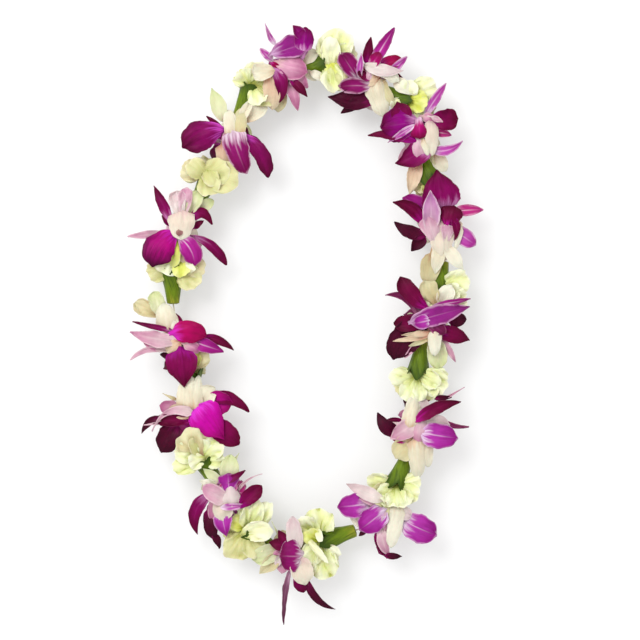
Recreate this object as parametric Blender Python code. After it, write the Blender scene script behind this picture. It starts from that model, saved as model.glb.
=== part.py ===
"""A fresh flower lei of purple dendrobium orchids and pale green carnations on one string.

The lei lies on the plane z = 0, with its long way along Y. Its flowers are threaded clockwise, as seen from
above: a purple orchid, a cream orchid and a carnation, thirteen times over. Every flower has a bore for the
string, and a gap to its neighbours. Distances are in millimetres until a mesh is made, and in metres there.
"""

import math
from dataclasses import dataclass

import bmesh
import bpy
from mathutils import Matrix, Quaternion, Vector
from mathutils.bvhtree import BVHTree

MM = 0.001

STRING_HEIGHT = 24.0
STRING_RADIUS = 0.6
KNOT_RADIUS = 2.0
KNOT_AHEAD = 9.5
TAIL_LENGTH = 7.0

BORE_RADIUS = 1.5
HUB_RADIUS = 3.8
HUB_LENGTH = 9.0
HUB_SIDES = 8
PURPLE_BEHIND = 8.0
CREAM_AHEAD = 3.0

CALYX_LENGTH = 29.0
CALYX_CLEAR = 9.0
CALYX_SIDES = 10
CALYX_TEETH = 5
TOOTH_LENGTH = 6.0
CLAW_END = 6.0
HEAD_RADIUS = 20.8
STRAIGHT_AHEAD = 7.0
HEAD_SIDES = 16
HEAD_WAVES = 4
WAVE_HEIGHT = 2.4

PETAL_THICKNESS = 1.4
TEST_THICKNESS = 2.6
BLADE_SIDES, BLADE_RINGS = 4, 4
CUP = 0.22
REST_HEIGHT = PETAL_THICKNESS / 2
BASE_DEPTH = 3.0
BASE_LIFT = 6.0
CHORD_PULL = 0.16
OUTWARD_PULL = 0.24
ARCH = 0.14

TILTS = (0, 8, -8, 16, -16, 24, -24, 33, -33, 42, -42)
TURNS = (0, 10, -10, 20, -20, 35, -35)
LENGTHS = (1.0, 0.86, 0.72, 0.6, 0.5, 0.4)


@dataclass(frozen=True)
class Petal:
    """One petal or sepal: where its tip points in plan, how far out it is, its width and its tip's rise."""

    form: str
    bearing: float
    reach: float
    width: float
    rise: float


@dataclass(frozen=True)
class Cluster:
    """Two orchids at one place on the string, and the carnation after them.

    The mouth is how far on the carnation's mouth is, and the bloom is the radius that its petals open to.
    """

    place: tuple
    purple: tuple
    cream: tuple
    carnation: tuple
    mouth: float
    bloom: float


def petals(*rows):
    return tuple(Petal("petal", *row) for row in rows)


def sepals(*rows):
    return tuple(Petal("sepal", *row) for row in rows)


# Bearings are degrees from +X towards +Y, lengths are millimetres, and a rise is measured from the string.
CLUSTERS = (
    Cluster(
        place=(-15, 221),
        purple=petals((59, 41, 20, 14), (257, 27, 12, 8), (140, 30, 9, 4))
        + sepals((115, 43, 7, 12), (284, 33, 9, 4), (95, 22, 14, -23)),
        cream=petals((18, 34, 12, 10), (347, 31, 12, 6), (306, 27, 10, 12))
        + sepals((230, 27, 13, 16), (75, 22, 12, -20), (285, 22, 14, -23)),
        carnation=(24, 227),
        mouth=32,
        bloom=26,
    ),
    Cluster(
        place=(55, 210),
        purple=petals((132, 35, 16, 14), (203, 39, 18, 2), (36, 34, 11, 16))
        + sepals((85, 39, 8, 9), (66, 51, 9, 12), (187, 23, 11, 18)),
        cream=petals((300, 30, 14, 8), (355, 30, 13, 12), (240, 22, 16, -23))
        + sepals((40, 41, 9, 3), (60, 22, 12, -22), (285, 20, 10, -16)),
        carnation=(91, 192),
        mouth=35,
        bloom=19,
    ),
    Cluster(
        place=(100, 163),
        purple=petals((128, 36, 28, 16), (231, 29, 17, 0), (35, 35, 17, 10))
        + sepals((63, 48, 9, 6), (180, 43, 11, 6), (150, 24, 14, -23)),
        cream=petals((312, 35, 12, 10), (262, 40, 12, 4), (20, 24, 14, -20))
        + sepals((349, 36, 10, 6), (200, 22, 12, -20), (330, 22, 12, -22)),
        carnation=(107, 134),
        mouth=37,
        bloom=13,
    ),
    Cluster(
        place=(115, 90),
        purple=petals((92, 41, 30, 14), (142, 37, 15, 6), (23, 26, 18, 14))
        + sepals((150, 42, 11, -4), (12, 38, 9, 2), (186, 35, 13, 2)),
        cream=petals((304, 38, 13, 10), (268, 42, 14, 12), (210, 22, 14, -22))
        + sepals((335, 37, 11, 4), (226, 32, 12, -2), (10, 22, 12, -22)),
        carnation=(120, 43),
        mouth=63,
        bloom=26,
    ),
    Cluster(
        place=(105, 0),
        purple=petals((118, 47, 18, 8), (23, 34, 17, 14), (174, 25, 13, 14))
        + sepals((142, 44, 10, 12), (31, 41, 9, 8), (165, 22, 13, -22)),
        cream=petals((222, 39, 22, 4), (337, 38, 14, 2), (283, 28, 14, 12))
        + sepals((203, 29, 10, 12), (310, 34, 10, 6), (20, 22, 12, -22)),
        carnation=(98, -44),
        mouth=47,
        bloom=26,
    ),
    Cluster(
        place=(98, -88),
        purple=petals((173, 34, 16, 4), (338, 35, 20, 12), (92, 24, 14, 16))
        + sepals((33, 37, 12, 6), (47, 36, 8, -2), (160, 22, 13, -22)),
        cream=petals((205, 27, 16, 12), (236, 35, 15, 4), (271, 40, 15, 10))
        + sepals((310, 27, 12, 0), (20, 22, 12, -22), (215, 22, 12, -22)),
        carnation=(80, -136),
        mouth=59,
        bloom=23,
    ),
    Cluster(
        place=(69, -169),
        purple=petals((158, 42, 19, 8), (341, 46, 25, 6), (208, 23, 18, 14))
        + sepals((136, 40, 14, 2), (60, 22, 13, -22), (120, 22, 12, -20)),
        cream=petals((291, 27, 16, 14), (268, 33, 11, 6), (200, 31, 12, 0))
        + sepals((291, 37, 9, 0), (325, 24, 13, -22), (225, 24, 13, -22)),
        carnation=(17, -188),
        mouth=56,
        bloom=27,
    ),
    Cluster(
        place=(-14, -202),
        purple=petals((83, 34, 12, 6), (245, 20, 15, 18), (128, 26, 12, 10))
        + sepals((286, 32, 11, 4), (309, 58, 9, -6), (40, 22, 13, -22)),
        cream=petals((300, 24, 14, 12), (150, 24, 14, 4), (110, 24, 13, -22))
        + sepals((265, 58, 9, 2), (270, 24, 12, -22), (230, 24, 13, -22)),
        carnation=(-50, -180),
        mouth=43,
        bloom=25,
    ),
    Cluster(
        place=(-73, -149),
        purple=petals((47, 29, 14, 10), (7, 34, 16, 6), (163, 18, 14, 16))
        + sepals((230, 43, 10, -2), (264, 45, 10, 4), (330, 24, 13, -22)),
        cream=petals((122, 31, 16, 10), (76, 30, 14, 6), (279, 33, 16, 8))
        + sepals((170, 26, 12, -14), (20, 24, 12, -22), (215, 24, 13, -22)),
        carnation=(-92, -110),
        mouth=34,
        bloom=22,
    ),
    Cluster(
        place=(-97, -76),
        purple=petals((311, 30, 26, 14), (322, 50, 17, -2), (227, 45, 16, 0))
        + sepals((199, 47, 7, -4), (199, 34, 14, 8), (3, 46, 9, 6)),
        cream=petals((150, 29, 18, 10), (25, 36, 19, 2), (164, 32, 13, 4))
        + sepals((90, 27, 11, 12), (140, 22, 12, -22), (20, 22, 12, -22)),
        carnation=(-99, -49),
        mouth=34,
        bloom=12,
    ),
    Cluster(
        place=(-110, -18),
        purple=petals((56, 23, 26, 14), (274, 37, 27, 28), (200, 22, 14, -22))
        + sepals((353, 37, 11, 6), (358, 45, 10, -4), (166, 41, 10, 4)),
        cream=petals((126, 42, 17, 6), (97, 27, 12, 0), (20, 22, 14, -22))
        + sepals((152, 43, 8, 2), (112, 33, 12, 12), (150, 22, 12, -22)),
        carnation=(-117, 35),
        mouth=65,
        bloom=25,
    ),
    Cluster(
        place=(-110, 76),
        purple=petals((206, 34, 26, 10), (305, 28, 20, 14), (259, 23, 12, 18))
        + sepals((181, 43, 8, 2), (331, 45, 9, 8), (225, 22, 14, -22)),
        cream=petals((92, 43, 12, 10), (64, 48, 13, 6), (23, 30, 12, 4))
        + sepals((115, 48, 10, 8), (350, 24, 13, -22), (150, 22, 12, -22)),
        carnation=(-84, 128),
        mouth=58,
        bloom=24,
    ),
    Cluster(
        place=(-64, 166),
        purple=petals((192, 43, 26, 8), (276, 33, 26, 14), (311, 48, 13, 4))
        + sepals((351, 27, 11, 10), (146, 25, 7, 8), (240, 22, 14, -22)),
        cream=petals((114, 41, 13, 4), (41, 37, 13, 6), (81, 22, 17, 14))
        + sepals((350, 22, 12, -22), (150, 22, 12, -22), (10, 26, 12, -10)),
        carnation=(-50, 205),
        mouth=46,
        bloom=21,
    ),
)


def clear_scene():
    for obj in list(bpy.data.objects):
        bpy.data.objects.remove(obj)


def new_collection(name, hidden=False):
    collection = bpy.data.collections.new(name)
    collection.hide_render = hidden
    bpy.context.scene.collection.children.link(collection)
    return collection


def finish(name, colour, roughness):
    material = bpy.data.materials.new(name)
    material.use_nodes = True
    shader = material.node_tree.nodes["Principled BSDF"]
    shader.inputs["Base Color"].default_value = (*colour, 1.0)
    shader.inputs["Roughness"].default_value = roughness
    shader.inputs["Metallic"].default_value = 0.0
    return material


class Route:
    """The string's closed line through the flowers' places, as one smooth curve."""

    def __init__(self, places):
        self.places = [Vector((x, y, STRING_HEIGHT)) for x, y in places]

    def at(self, spot):
        """The point and the direction at this many places along, on a Catmull-Rom curve."""
        whole, part = divmod(spot, 1.0)
        places = [self.places[(int(whole) + k) % len(self.places)] for k in (-1, 0, 1, 2)]
        before, start, end, after = places
        bend = 2 * before - 5 * start + 4 * end - after
        twist = 3 * start - before - 3 * end + after
        point = start + 0.5 * ((end - before) * part + bend * part**2 + twist * part**3)
        heading = 0.5 * ((end - before) + 2 * bend * part + 3 * twist * part**2)
        return point, heading.normalized()

    def ahead(self, spot, distance):
        """The spot that lies this far along the line from another one."""
        step = math.copysign(0.02, distance)
        left = abs(distance)
        while left > 0:
            left -= (self.at(spot + step)[0] - self.at(spot)[0]).length
            spot += step
        return spot

    def frame(self, spot, chord=0.5):
        """A matrix in metres with its origin at the spot and its Z axis along the chord that ends there."""
        point = self.at(spot)[0]
        heading = point - self.at(self.ahead(spot, -chord))[0]
        return Matrix.LocRotScale(point * MM, heading.to_track_quat("Z", "Y"), None)


def turned_mesh(profile, sides, shift=None):
    """A closed (radius, height) outline spun round Z, each point moved by shift(radius, height, angle)."""
    shape = bmesh.new()
    points = [shape.verts.new((radius * MM, 0.0, height * MM)) for radius, height in profile]
    edges = [shape.edges.new((a, b)) for a, b in zip(points, points[1:] + points[:1])]
    bmesh.ops.spin(
        shape,
        geom=points + edges,
        cent=(0, 0, 0),
        axis=(0, 0, 1),
        angle=math.tau,
        steps=sides,
        use_merge=True,
    )
    if shift:
        for vert in shape.verts:
            radius, angle = math.hypot(vert.co.x, vert.co.y) / MM, math.atan2(vert.co.y, vert.co.x)
            vert.co.z += shift(radius, vert.co.z / MM, angle) * MM
    bmesh.ops.recalc_face_normals(shape, faces=shape.faces)
    return shape


def frill(radius):
    """How far out a carnation's petal is at this radius, from 0 on its claw to 1 at its edge."""
    return max(0, radius - CLAW_END) / (HEAD_RADIUS - CLAW_END)


def width_share(form, along):
    """How wide a petal is at this share of its length, as a share of its full width."""
    if form == "petal":
        rise, fall = 0.85, 0.42
    else:
        rise, fall = 0.55, 0.75
    widest = rise / (rise + fall)
    shape = (along / widest) ** rise * ((1 - along) / (1 - widest)) ** fall
    return max(shape, 0.3 * (1 - along) + 0.14)


def petal_mesh(form, base, outward, tip, width, thickness):
    """A curved, cupped blade from base to tip that leaves the hub along outward, thin at its edges."""
    shape = bmesh.new()
    bmesh.ops.create_uvsphere(shape, u_segments=BLADE_SIDES, v_segments=BLADE_RINGS + 1, radius=1.0)
    chord = tip - base
    control = base + outward * OUTWARD_PULL * chord.length + chord * CHORD_PULL
    control.z += ARCH * chord.length
    level_side = Vector((-chord.y, chord.x, 0)).normalized()
    for vert in shape.verts:
        along, round_share = (vert.co.z + 1) / 2, math.hypot(vert.co.x, vert.co.y)
        across, above = (vert.co.y / round_share, vert.co.x) if round_share > 0.01 else (0, 0)
        middle = base * (1 - along) ** 2 + control * 2 * along * (1 - along) + tip * along**2
        heading = ((control - base) * (1 - along) + (tip - control) * along).normalized()
        side = (level_side - level_side.dot(heading) * heading).normalized()
        half = width / 2 * width_share(form, along)
        face = side.cross(heading)
        middle.z = max(middle.z, REST_HEIGHT)
        point = middle + side * across * half + face * (above * thickness / 2 + across**2 * half * CUP)
        point.z = max(point.z, REST_HEIGHT * (1 - above))
        vert.co = point * MM
    return shape


class Room:
    """The solids placed so far, each with its flower's name, so that a new petal can find a free place."""

    def __init__(self):
        self.taken = []

    def add(self, owner, shape, matrix=None):
        copy = shape.copy()
        copy.transform(matrix or Matrix())
        centre = sum((v.co for v in copy.verts), Vector()) / len(copy.verts)
        radius = max((v.co - centre).length for v in copy.verts)
        self.taken.append((owner, centre, radius, BVHTree.FromBMesh(copy)))
        copy.free()

    def is_free(self, owner, shape):
        centre = sum((v.co for v in shape.verts), Vector()) / len(shape.verts)
        radius = max((v.co - centre).length for v in shape.verts)
        tree = BVHTree.FromBMesh(shape)
        near = (
            other
            for name, middle, size, other in self.taken
            if name != owner and (middle - centre).length < size + radius
        )
        return not any(tree.overlap(other) for other in near)


class Lei:
    """Builds every flower on the string and keeps their petals clear of each other."""

    def __init__(self):
        self.parts = new_collection("fresh_flower_lei")
        self.shapers = new_collection("joined_petals", hidden=True)
        places = [place for cluster in CLUSTERS for place in (cluster.place, cluster.carnation)]
        self.route = Route(places)
        self.calyxes = []
        for k, cluster in enumerate(CLUSTERS):
            length = min(CALYX_LENGTH, cluster.mouth - CALYX_CLEAR)
            mouth = self.route.frame(self.route.ahead(2 * k, cluster.mouth), length)
            self.calyxes.append((mouth, length))
        self.room = Room()
        self.finishes = {
            "string": finish("string", (0.75, 0.72, 0.62), 0.8),
            "calyx": finish("calyx_green", (0.20, 0.30, 0.03), 0.5),
            "carnation": finish("carnation_petal", (0.72, 0.80, 0.34), 0.6),
            "purple": finish("orchid_purple", (0.36, 0.01, 0.25), 0.4),
            "cream": finish("orchid_cream", (0.80, 0.62, 0.50), 0.45),
        }

    def solid(self, name, shape, slot, collection=None, matrix=None):
        """Makes an object of this mesh, at this place."""
        mesh = bpy.data.meshes.new(name)
        shape.to_mesh(mesh)
        shape.free()
        mesh.shade_smooth()
        mesh.set_sharp_from_angle(angle=math.radians(50))
        mesh.materials.append(self.finishes[slot])
        obj = bpy.data.objects.new(name, mesh)
        (collection or self.parts).objects.link(obj)
        if matrix:
            obj.matrix_world = matrix
        return obj

    def joined(self, host, shape):
        """Joins one more closed mesh to a part with a Boolean union."""
        helper = self.solid(f"{host.name}_piece", shape, "cream", self.shapers)
        helper.hide_render = True
        helper.display_type = "WIRE"
        union = host.modifiers.new("join", "BOOLEAN")
        union.operation = "UNION"
        union.solver = "MANIFOLD"
        union.object = helper

    def string(self):
        """The closed loop of string, with its knot and two tails in the first carnation's mouth."""
        curve = bpy.data.curves.new("string_line", "CURVE")
        curve.dimensions = "3D"
        curve.bevel_depth = STRING_RADIUS * MM
        curve.bevel_resolution = 1
        line = curve.splines.new("POLY")
        anchors = self.anchors()
        line.points.add(len(anchors) - 1)
        line.use_cyclic_u = True
        for point, anchor in zip(line.points, anchors):
            point.co = (*anchor, 1)
        guide = bpy.data.objects.new("string_line", curve)
        self.shapers.objects.link(guide)
        bpy.context.view_layer.update()
        mesh = bpy.data.meshes.new_from_object(guide.evaluated_get(bpy.context.evaluated_depsgraph_get()))
        bpy.data.objects.remove(guide)
        shape = bmesh.new()
        shape.from_mesh(mesh)
        bpy.data.meshes.remove(mesh)
        bmesh.ops.remove_doubles(shape, verts=shape.verts, dist=1e-6)
        self.room.add("string", shape)
        host = self.solid("string", shape, "string")
        self.knot(host)

    def hub_frames(self, k):
        """Where the two throats of a cluster sit, each facing along the string that reaches it."""
        last_mouth = self.calyxes[k - 1][0]
        mouth, length = self.calyxes[k]
        before = last_mouth @ Vector((0, 0, STRAIGHT_AHEAD * MM))
        after = mouth @ Vector((0, 0, -length * MM))
        behind = self.route.at(self.route.ahead(2 * k, -PURPLE_BEHIND))[0] * MM
        ahead = self.route.at(self.route.ahead(2 * k, CREAM_AHEAD))[0] * MM
        return tuple(
            Matrix.LocRotScale(point, (end - start).to_track_quat("Z", "Y"), None)
            for start, point, end in ((before, behind, ahead), (behind, ahead, after))
        )

    def anchors(self):
        """Points in metres that the string is pulled straight between: through each throat and calyx."""
        points = []
        for k, (mouth, length) in enumerate(self.calyxes):
            for frame in self.hub_frames(k):
                points += [frame @ Vector((0, 0, end * HUB_LENGTH / 2 * MM)) for end in (-1, 1)]
            for distance in (-length, -length / 2, 0, STRAIGHT_AHEAD):
                points.append(mouth @ Vector((0, 0, distance * MM)))
        return points

    def knot(self, host):
        frame = self.route.frame(self.route.ahead(0, CLUSTERS[0].mouth + KNOT_AHEAD))
        ball = bmesh.new()
        bmesh.ops.create_icosphere(ball, subdivisions=1, radius=KNOT_RADIUS * MM)
        ball.transform(frame)
        self.room.add("string", ball)
        self.joined(host, ball)
        for lean in (-35, 35):
            tail = bmesh.new()
            bmesh.ops.create_cone(
                tail,
                cap_ends=True,
                segments=6,
                radius1=STRING_RADIUS * MM,
                radius2=STRING_RADIUS * MM,
                depth=TAIL_LENGTH * MM,
            )
            lift = Matrix.Translation((0, 0, TAIL_LENGTH / 2 * MM))
            tail.transform(frame @ Matrix.Rotation(math.radians(lean), 4, "X") @ lift)
            self.room.add("string", tail)
            self.joined(host, tail)

    def carnation(self, number, mouth, length, bloom):
        """A green calyx tube with teeth, and a ruffled head whose claws sit in its mouth."""
        base = -length
        calyx = turned_mesh(
            (
                (BORE_RADIUS, base + 0.6),
                (2.8, base),
                (4.6, base + 1.5),
                (5.4, base + 7.0),
                (7.2, base + 17.0),
                (9.4, 0.0),
                (8.4, 0.0),
                (6.4, -6.0),
                (BORE_RADIUS, -8.0),
            ),
            CALYX_SIDES,
            lambda radius, height, angle: (
                TOOTH_LENGTH / 2 * math.cos(CALYX_TEETH * angle) if height > -1 else 0
            ),
        )
        name = f"carnation_calyx_{number:02d}"
        self.room.add(name, calyx, mouth)
        self.solid(name, calyx, "calyx", matrix=mouth)

        head = turned_mesh(
            (
                (BORE_RADIUS, -6.0),
                (4.4, -5.2),
                (4.6, 2.8),
                (11.0, 8.4),
                (HEAD_RADIUS, 9.8),
                (20.2, 11.4),
                (9.0, 10.8),
                (BORE_RADIUS, 4.6),
            ),
            HEAD_SIDES,
            lambda radius, height, angle: (
                WAVE_HEIGHT * frill(radius) * math.cos(HEAD_WAVES * angle + number)
            ),
        )
        for vert in head.verts:
            wider = 1 + frill(math.hypot(vert.co.x, vert.co.y) / MM) * (bloom / HEAD_RADIUS - 1)
            vert.co.x *= wider
            vert.co.y *= min(wider, 1)
        name = f"carnation_petals_{number:02d}"
        self.room.add(name, head, mouth)
        self.solid(name, head, "carnation", matrix=mouth)

    def hub(self, name, slot, frame):
        """The throat of an orchid, with the string's bore through it."""
        end = HUB_LENGTH / 2
        outline = (
            (BORE_RADIUS, -end),
            (3.0, -end),
            (HUB_RADIUS, -end / 2),
            (HUB_RADIUS, end / 2),
            (3.0, end),
            (BORE_RADIUS, end),
        )
        shape = turned_mesh(outline, HUB_SIDES)
        self.room.add(name, shape, frame)
        return self.solid(name, shape, slot, matrix=frame)

    def orchid(self, host, frame, place, blades):
        """Joins petals to a throat, each at the nearest free attitude to the wanted one."""
        centre = frame.translation / MM
        heading = frame.to_3x3() @ Vector((0, 0, 1))
        for blade in blades:
            shape = self.free_petal(host.name, centre, heading, place, blade)
            self.room.add(host.name, shape)
            self.joined(host, shape)

    def free_petal(self, owner, centre, heading, place, blade):
        bearing = math.radians(blade.bearing)
        plan = Vector((math.cos(bearing), math.sin(bearing), 0)) * blade.reach
        tip = Vector((place[0], place[1], STRING_HEIGHT + blade.rise)) + plan
        reach = tip - centre
        hinge = Vector((0, 0, 1)).cross(reach).normalized()
        for share in LENGTHS:
            for turn in TURNS:
                for tilt in TILTS:
                    swung = Quaternion((0, 0, 1), math.radians(turn))
                    attitude = swung @ Quaternion(hinge, -math.radians(tilt))
                    end = centre + attitude @ reach * share
                    end.z = max(end.z, REST_HEIGHT)
                    outward = end - centre
                    outward.z += math.copysign(BASE_LIFT, end.z - STRING_HEIGHT)
                    outward = (outward - outward.dot(heading) * heading).normalized()
                    root = centre + outward * BASE_DEPTH
                    sizes = (blade.form, root, outward, end, blade.width * share)
                    trial = petal_mesh(*sizes, TEST_THICKNESS)
                    free = self.room.is_free(owner, trial)
                    trial.free()
                    if free:
                        return petal_mesh(*sizes, PETAL_THICKNESS)
        print(f"{owner}: no free place for {blade}")
        return petal_mesh(*sizes, PETAL_THICKNESS)

    def build(self):
        self.string()
        for k, (mouth, length) in enumerate(self.calyxes):
            self.carnation(k + 1, mouth, length, CLUSTERS[k].bloom)
        pairs = []
        for k, cluster in enumerate(CLUSTERS):
            behind, ahead = self.hub_frames(k)
            purple = self.hub(f"purple_orchid_{k + 1:02d}", "purple", behind)
            cream = self.hub(f"cream_orchid_{k + 1:02d}", "cream", ahead)
            pairs.append((purple, behind, cluster.place, cluster.purple))
            pairs.append((cream, ahead, cluster.place, cluster.cream))
        for pair in pairs:
            self.orchid(*pair)
        self.settle()

    def settle(self):
        """Hangs every object on one empty, so that the box of the whole stands centred on the origin."""
        bpy.context.view_layer.update()
        graph = bpy.context.evaluated_depsgraph_get()
        points = []
        for obj in self.parts.objects:
            shown = obj.evaluated_get(graph)
            points += [shown.matrix_world @ vert.co for vert in shown.to_mesh().vertices]
            shown.to_mesh_clear()
        lowest = Vector([min(point[axis] for point in points) for axis in range(3)])
        highest = Vector([max(point[axis] for point in points) for axis in range(3)])
        middle = (lowest + highest) / 2
        origin = bpy.data.objects.new("lei_origin", None)
        origin.location = (-middle.x, -middle.y, -lowest.z)
        self.parts.objects.link(origin)
        for obj in (*self.parts.objects, *self.shapers.objects):
            if obj != origin:
                obj.parent = origin


def main():
    clear_scene()
    Lei().build()


if __name__ == "__main__":
    main()
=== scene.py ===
"""The looks of a fresh flower lei: dendrobium orchids and carnations on one string, lying on a pale floor.

Every flower of the frame is replaced by fine petals that are cupped, bowed, ruffled and tinted one by one.
Sizes are in millimetres until a mesh is made, and in metres there.
"""

import logging
import math
from collections.abc import Iterable, Iterator, Sequence
from dataclasses import dataclass, replace
from enum import Enum
from functools import partial
from typing import Any

import bmesh
import bpy
from mathutils import Matrix, Vector, noise


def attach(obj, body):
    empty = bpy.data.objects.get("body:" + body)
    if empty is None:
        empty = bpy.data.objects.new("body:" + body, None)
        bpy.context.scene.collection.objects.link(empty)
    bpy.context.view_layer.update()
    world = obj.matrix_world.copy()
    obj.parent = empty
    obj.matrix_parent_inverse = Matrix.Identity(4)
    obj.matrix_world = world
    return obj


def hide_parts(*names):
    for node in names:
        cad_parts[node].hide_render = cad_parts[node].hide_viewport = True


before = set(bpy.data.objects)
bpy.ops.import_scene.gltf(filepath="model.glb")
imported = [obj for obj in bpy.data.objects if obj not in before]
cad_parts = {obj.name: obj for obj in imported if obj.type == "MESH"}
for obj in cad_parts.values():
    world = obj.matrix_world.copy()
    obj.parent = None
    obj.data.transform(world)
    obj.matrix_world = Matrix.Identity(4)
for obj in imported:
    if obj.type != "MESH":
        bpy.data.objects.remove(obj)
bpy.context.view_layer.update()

LOG = logging.getLogger("lei")

Point = tuple[float, float, float]
Plan = tuple[float, float]
Colour = tuple[int, int, int]
Material = bpy.types.Material
Vert = bmesh.types.BMVert

MM = 0.001
UP = Vector((0, 0, 1))


# ---------------------------------------------------------------- tones


@dataclass(frozen=True)
class Tone:
    """The colours of one kind of petal, from its claw to its tip, and how plainly its rim and midrib show."""

    base: Colour
    body: Colour
    tip: Colour
    rim: Colour
    back: Colour
    rim_shows: float
    rib_shows: float


# Purple orchids, from the brightest to the darkest. The flowers share one purple. The spread of tones is
# partly the petals' own fronts and paler backs, and partly painted light on petals that face the light and
# painted shade on petals that lie low under others.
GLOW = Tone((226, 30, 208), (198, 8, 146), (138, 8, 84), (230, 120, 200), (190, 110, 150), 0.1, 0.0)
# This tone's pale claw end is a painted highlight along the upper left of the heart petal that wears it.
FUCHSIA = Tone((238, 64, 226), (212, 6, 172), (166, 8, 106), (236, 120, 214), (190, 110, 150), 0.15, 0.0)
# This tone runs from a painted highlight at the claw to painted shade at the tip.
BLAZE = Tone((228, 44, 200), (184, 4, 128), (64, 8, 40), (200, 90, 160), (150, 80, 120), 0.1, 0.0)
EMBER = Tone((226, 50, 200), (188, 2, 98), (150, 6, 72), (230, 120, 190), (190, 110, 150), 0.15, 0.0)
CRIMSON = Tone((206, 60, 160), (180, 2, 92), (140, 4, 56), (200, 84, 136), (184, 100, 140), 0.1, 0.1)
MAGENTA = Tone((250, 206, 236), (196, 4, 126), (128, 4, 58), (222, 120, 180), (190, 110, 146), 0.2, 0.2)
ORCHID = Tone((252, 228, 244), (192, 44, 160), (142, 14, 110), (244, 200, 228), (200, 130, 166), 0.3, 0.8)
AMETHYST = Tone((252, 226, 250), (190, 60, 178), (152, 18, 132), (244, 206, 236), (200, 130, 180), 0.5, 0.6)
IRIS = Tone((230, 160, 214), (152, 4, 132), (104, 2, 56), (220, 140, 190), (172, 100, 130), 0.3, 0.1)
LAVENDER = Tone((236, 190, 230), (158, 40, 142), (142, 40, 122), (236, 184, 218), (190, 130, 170), 0.7, 0.2)
FLAMED = Tone((250, 224, 240), (152, 22, 112), (116, 10, 72), (240, 196, 220), (200, 130, 166), 0.6, 0.3)
# This tone runs from a painted highlight at the claw to painted shade at the tip.
DUSK = Tone((226, 84, 212), (142, 6, 98), (88, 6, 46), (200, 90, 160), (150, 80, 120), 0.1, 0.0)
VIOLET = Tone((218, 140, 200), (146, 2, 100), (96, 2, 44), (184, 90, 146), (172, 100, 130), 0.2, 0.1)
DEEP = Tone((164, 14, 136), (134, 2, 82), (100, 2, 46), (166, 50, 116), (146, 66, 110), 0.1, 0.1)
PLUM = Tone((206, 140, 170), (142, 44, 104), (108, 24, 68), (200, 120, 160), (170, 100, 130), 0.4, 0.2)
WINE = Tone((196, 20, 150), (126, 4, 70), (88, 6, 40), (170, 60, 110), (130, 60, 90), 0.15, 0.1)
# The darkest purple: painted shade on petals that lie under others.
PURPLE_IN_SHADE = Tone((140, 16, 92), (86, 10, 46), (62, 14, 34), (110, 40, 70), (110, 40, 70), 0.1, 0.0)
# Petals that are pale or faded to lilac and pink.
LILAC = Tone((252, 236, 248), (206, 96, 192), (176, 40, 150), (252, 224, 242), (222, 170, 196), 0.6, 0.5)
ROSE = Tone((246, 206, 226), (206, 50, 140), (190, 50, 130), (246, 196, 218), (206, 140, 170), 0.5, 0.8)
ASTER = Tone((240, 214, 210), (224, 172, 204), (190, 112, 178), (252, 226, 236), (200, 130, 170), 0.7, 0.5)
DUSTY = Tone((236, 196, 192), (230, 168, 194), (192, 98, 148), (248, 202, 214), (150, 20, 100), 0.6, 0.3)
PINK = Tone((246, 222, 218), (234, 196, 206), (212, 140, 174), (252, 226, 228), (214, 160, 180), 0.6, 0.25)
ASH = Tone((204, 160, 186), (142, 84, 116), (78, 26, 54), (200, 150, 176), (130, 60, 90), 0.3, 0.2)
BRUISE = Tone((176, 130, 120), (160, 108, 106), (150, 96, 96), (200, 160, 150), (170, 120, 110), 0.2, 0.0)
# Cream orchids.
PALE = Tone((240, 226, 212), (242, 226, 220), (236, 206, 210), (254, 244, 240), (226, 206, 196), 0.5, 0.2)
BLUSH = Tone((238, 200, 196), (244, 224, 204), (250, 242, 220), (254, 246, 236), (222, 196, 170), 0.4, 0.1)
WHITE = Tone((244, 224, 196), (253, 244, 220), (251, 249, 228), (255, 253, 240), (236, 222, 190), 0.3, 0.0)
CREAM = Tone((232, 196, 160), (244, 230, 200), (250, 246, 222), (254, 250, 236), (222, 196, 150), 0.4, 0.1)
PEACH = Tone((222, 150, 124), (234, 196, 164), (238, 220, 186), (248, 222, 196), (214, 170, 130), 0.4, 0.1)
# Cream with painted shade, for cream petals and carnation frills that lie in shadow.
CREAM_IN_SHADE = Tone((220, 180, 138), (224, 210, 158), (232, 224, 180), (244, 232, 198), (200, 176, 120), 0.4, 0.1)
MINT = Tone((236, 220, 186), (236, 236, 194), (222, 232, 164), (248, 250, 224), (214, 214, 160), 0.4, 0.1)
# Carnations and their calyxes.
LIME = Tone((190, 200, 84), (238, 242, 168), (250, 251, 210), (254, 254, 234), (226, 228, 150), 0.5, 0.0)
PALE_LIME = Tone(
    (214, 216, 124), (247, 246, 196), (253, 252, 222), (254, 253, 236), (238, 238, 186), 0.4, 0.0
)
YELLOW = Tone((190, 198, 28), (230, 234, 104), (244, 246, 156), (250, 250, 200), (208, 208, 112), 0.4, 0.0)
# Lime with painted shade, for a carnation's shaded folds and lower petals.
LIME_IN_SHADE = Tone((176, 178, 76), (212, 210, 140), (228, 224, 168), (248, 234, 208), (196, 194, 112), 0.5, 0.0)
# The calyx's own green is its body colour. The lighter foot is painted light, and the dark tip is painted
# shade from the petals over its mouth; the tip colour also darkens the teeth's edges.
CALYX_GREEN = Tone((160, 166, 48), (118, 144, 26), (56, 80, 20), (96, 112, 36), (150, 170, 60), 0.3, 0.0)


def linear(colour: Colour, depth: float = 1.0) -> tuple[float, float, float]:
    """Turns a display colour from 0 to 255 into the linear light that shaders use, darkened by depth."""
    return tuple(depth * ((c / 255 + 0.055) / 1.055) ** 2.4 for c in colour)


# ---------------------------------------------------------------- petals as data


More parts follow.
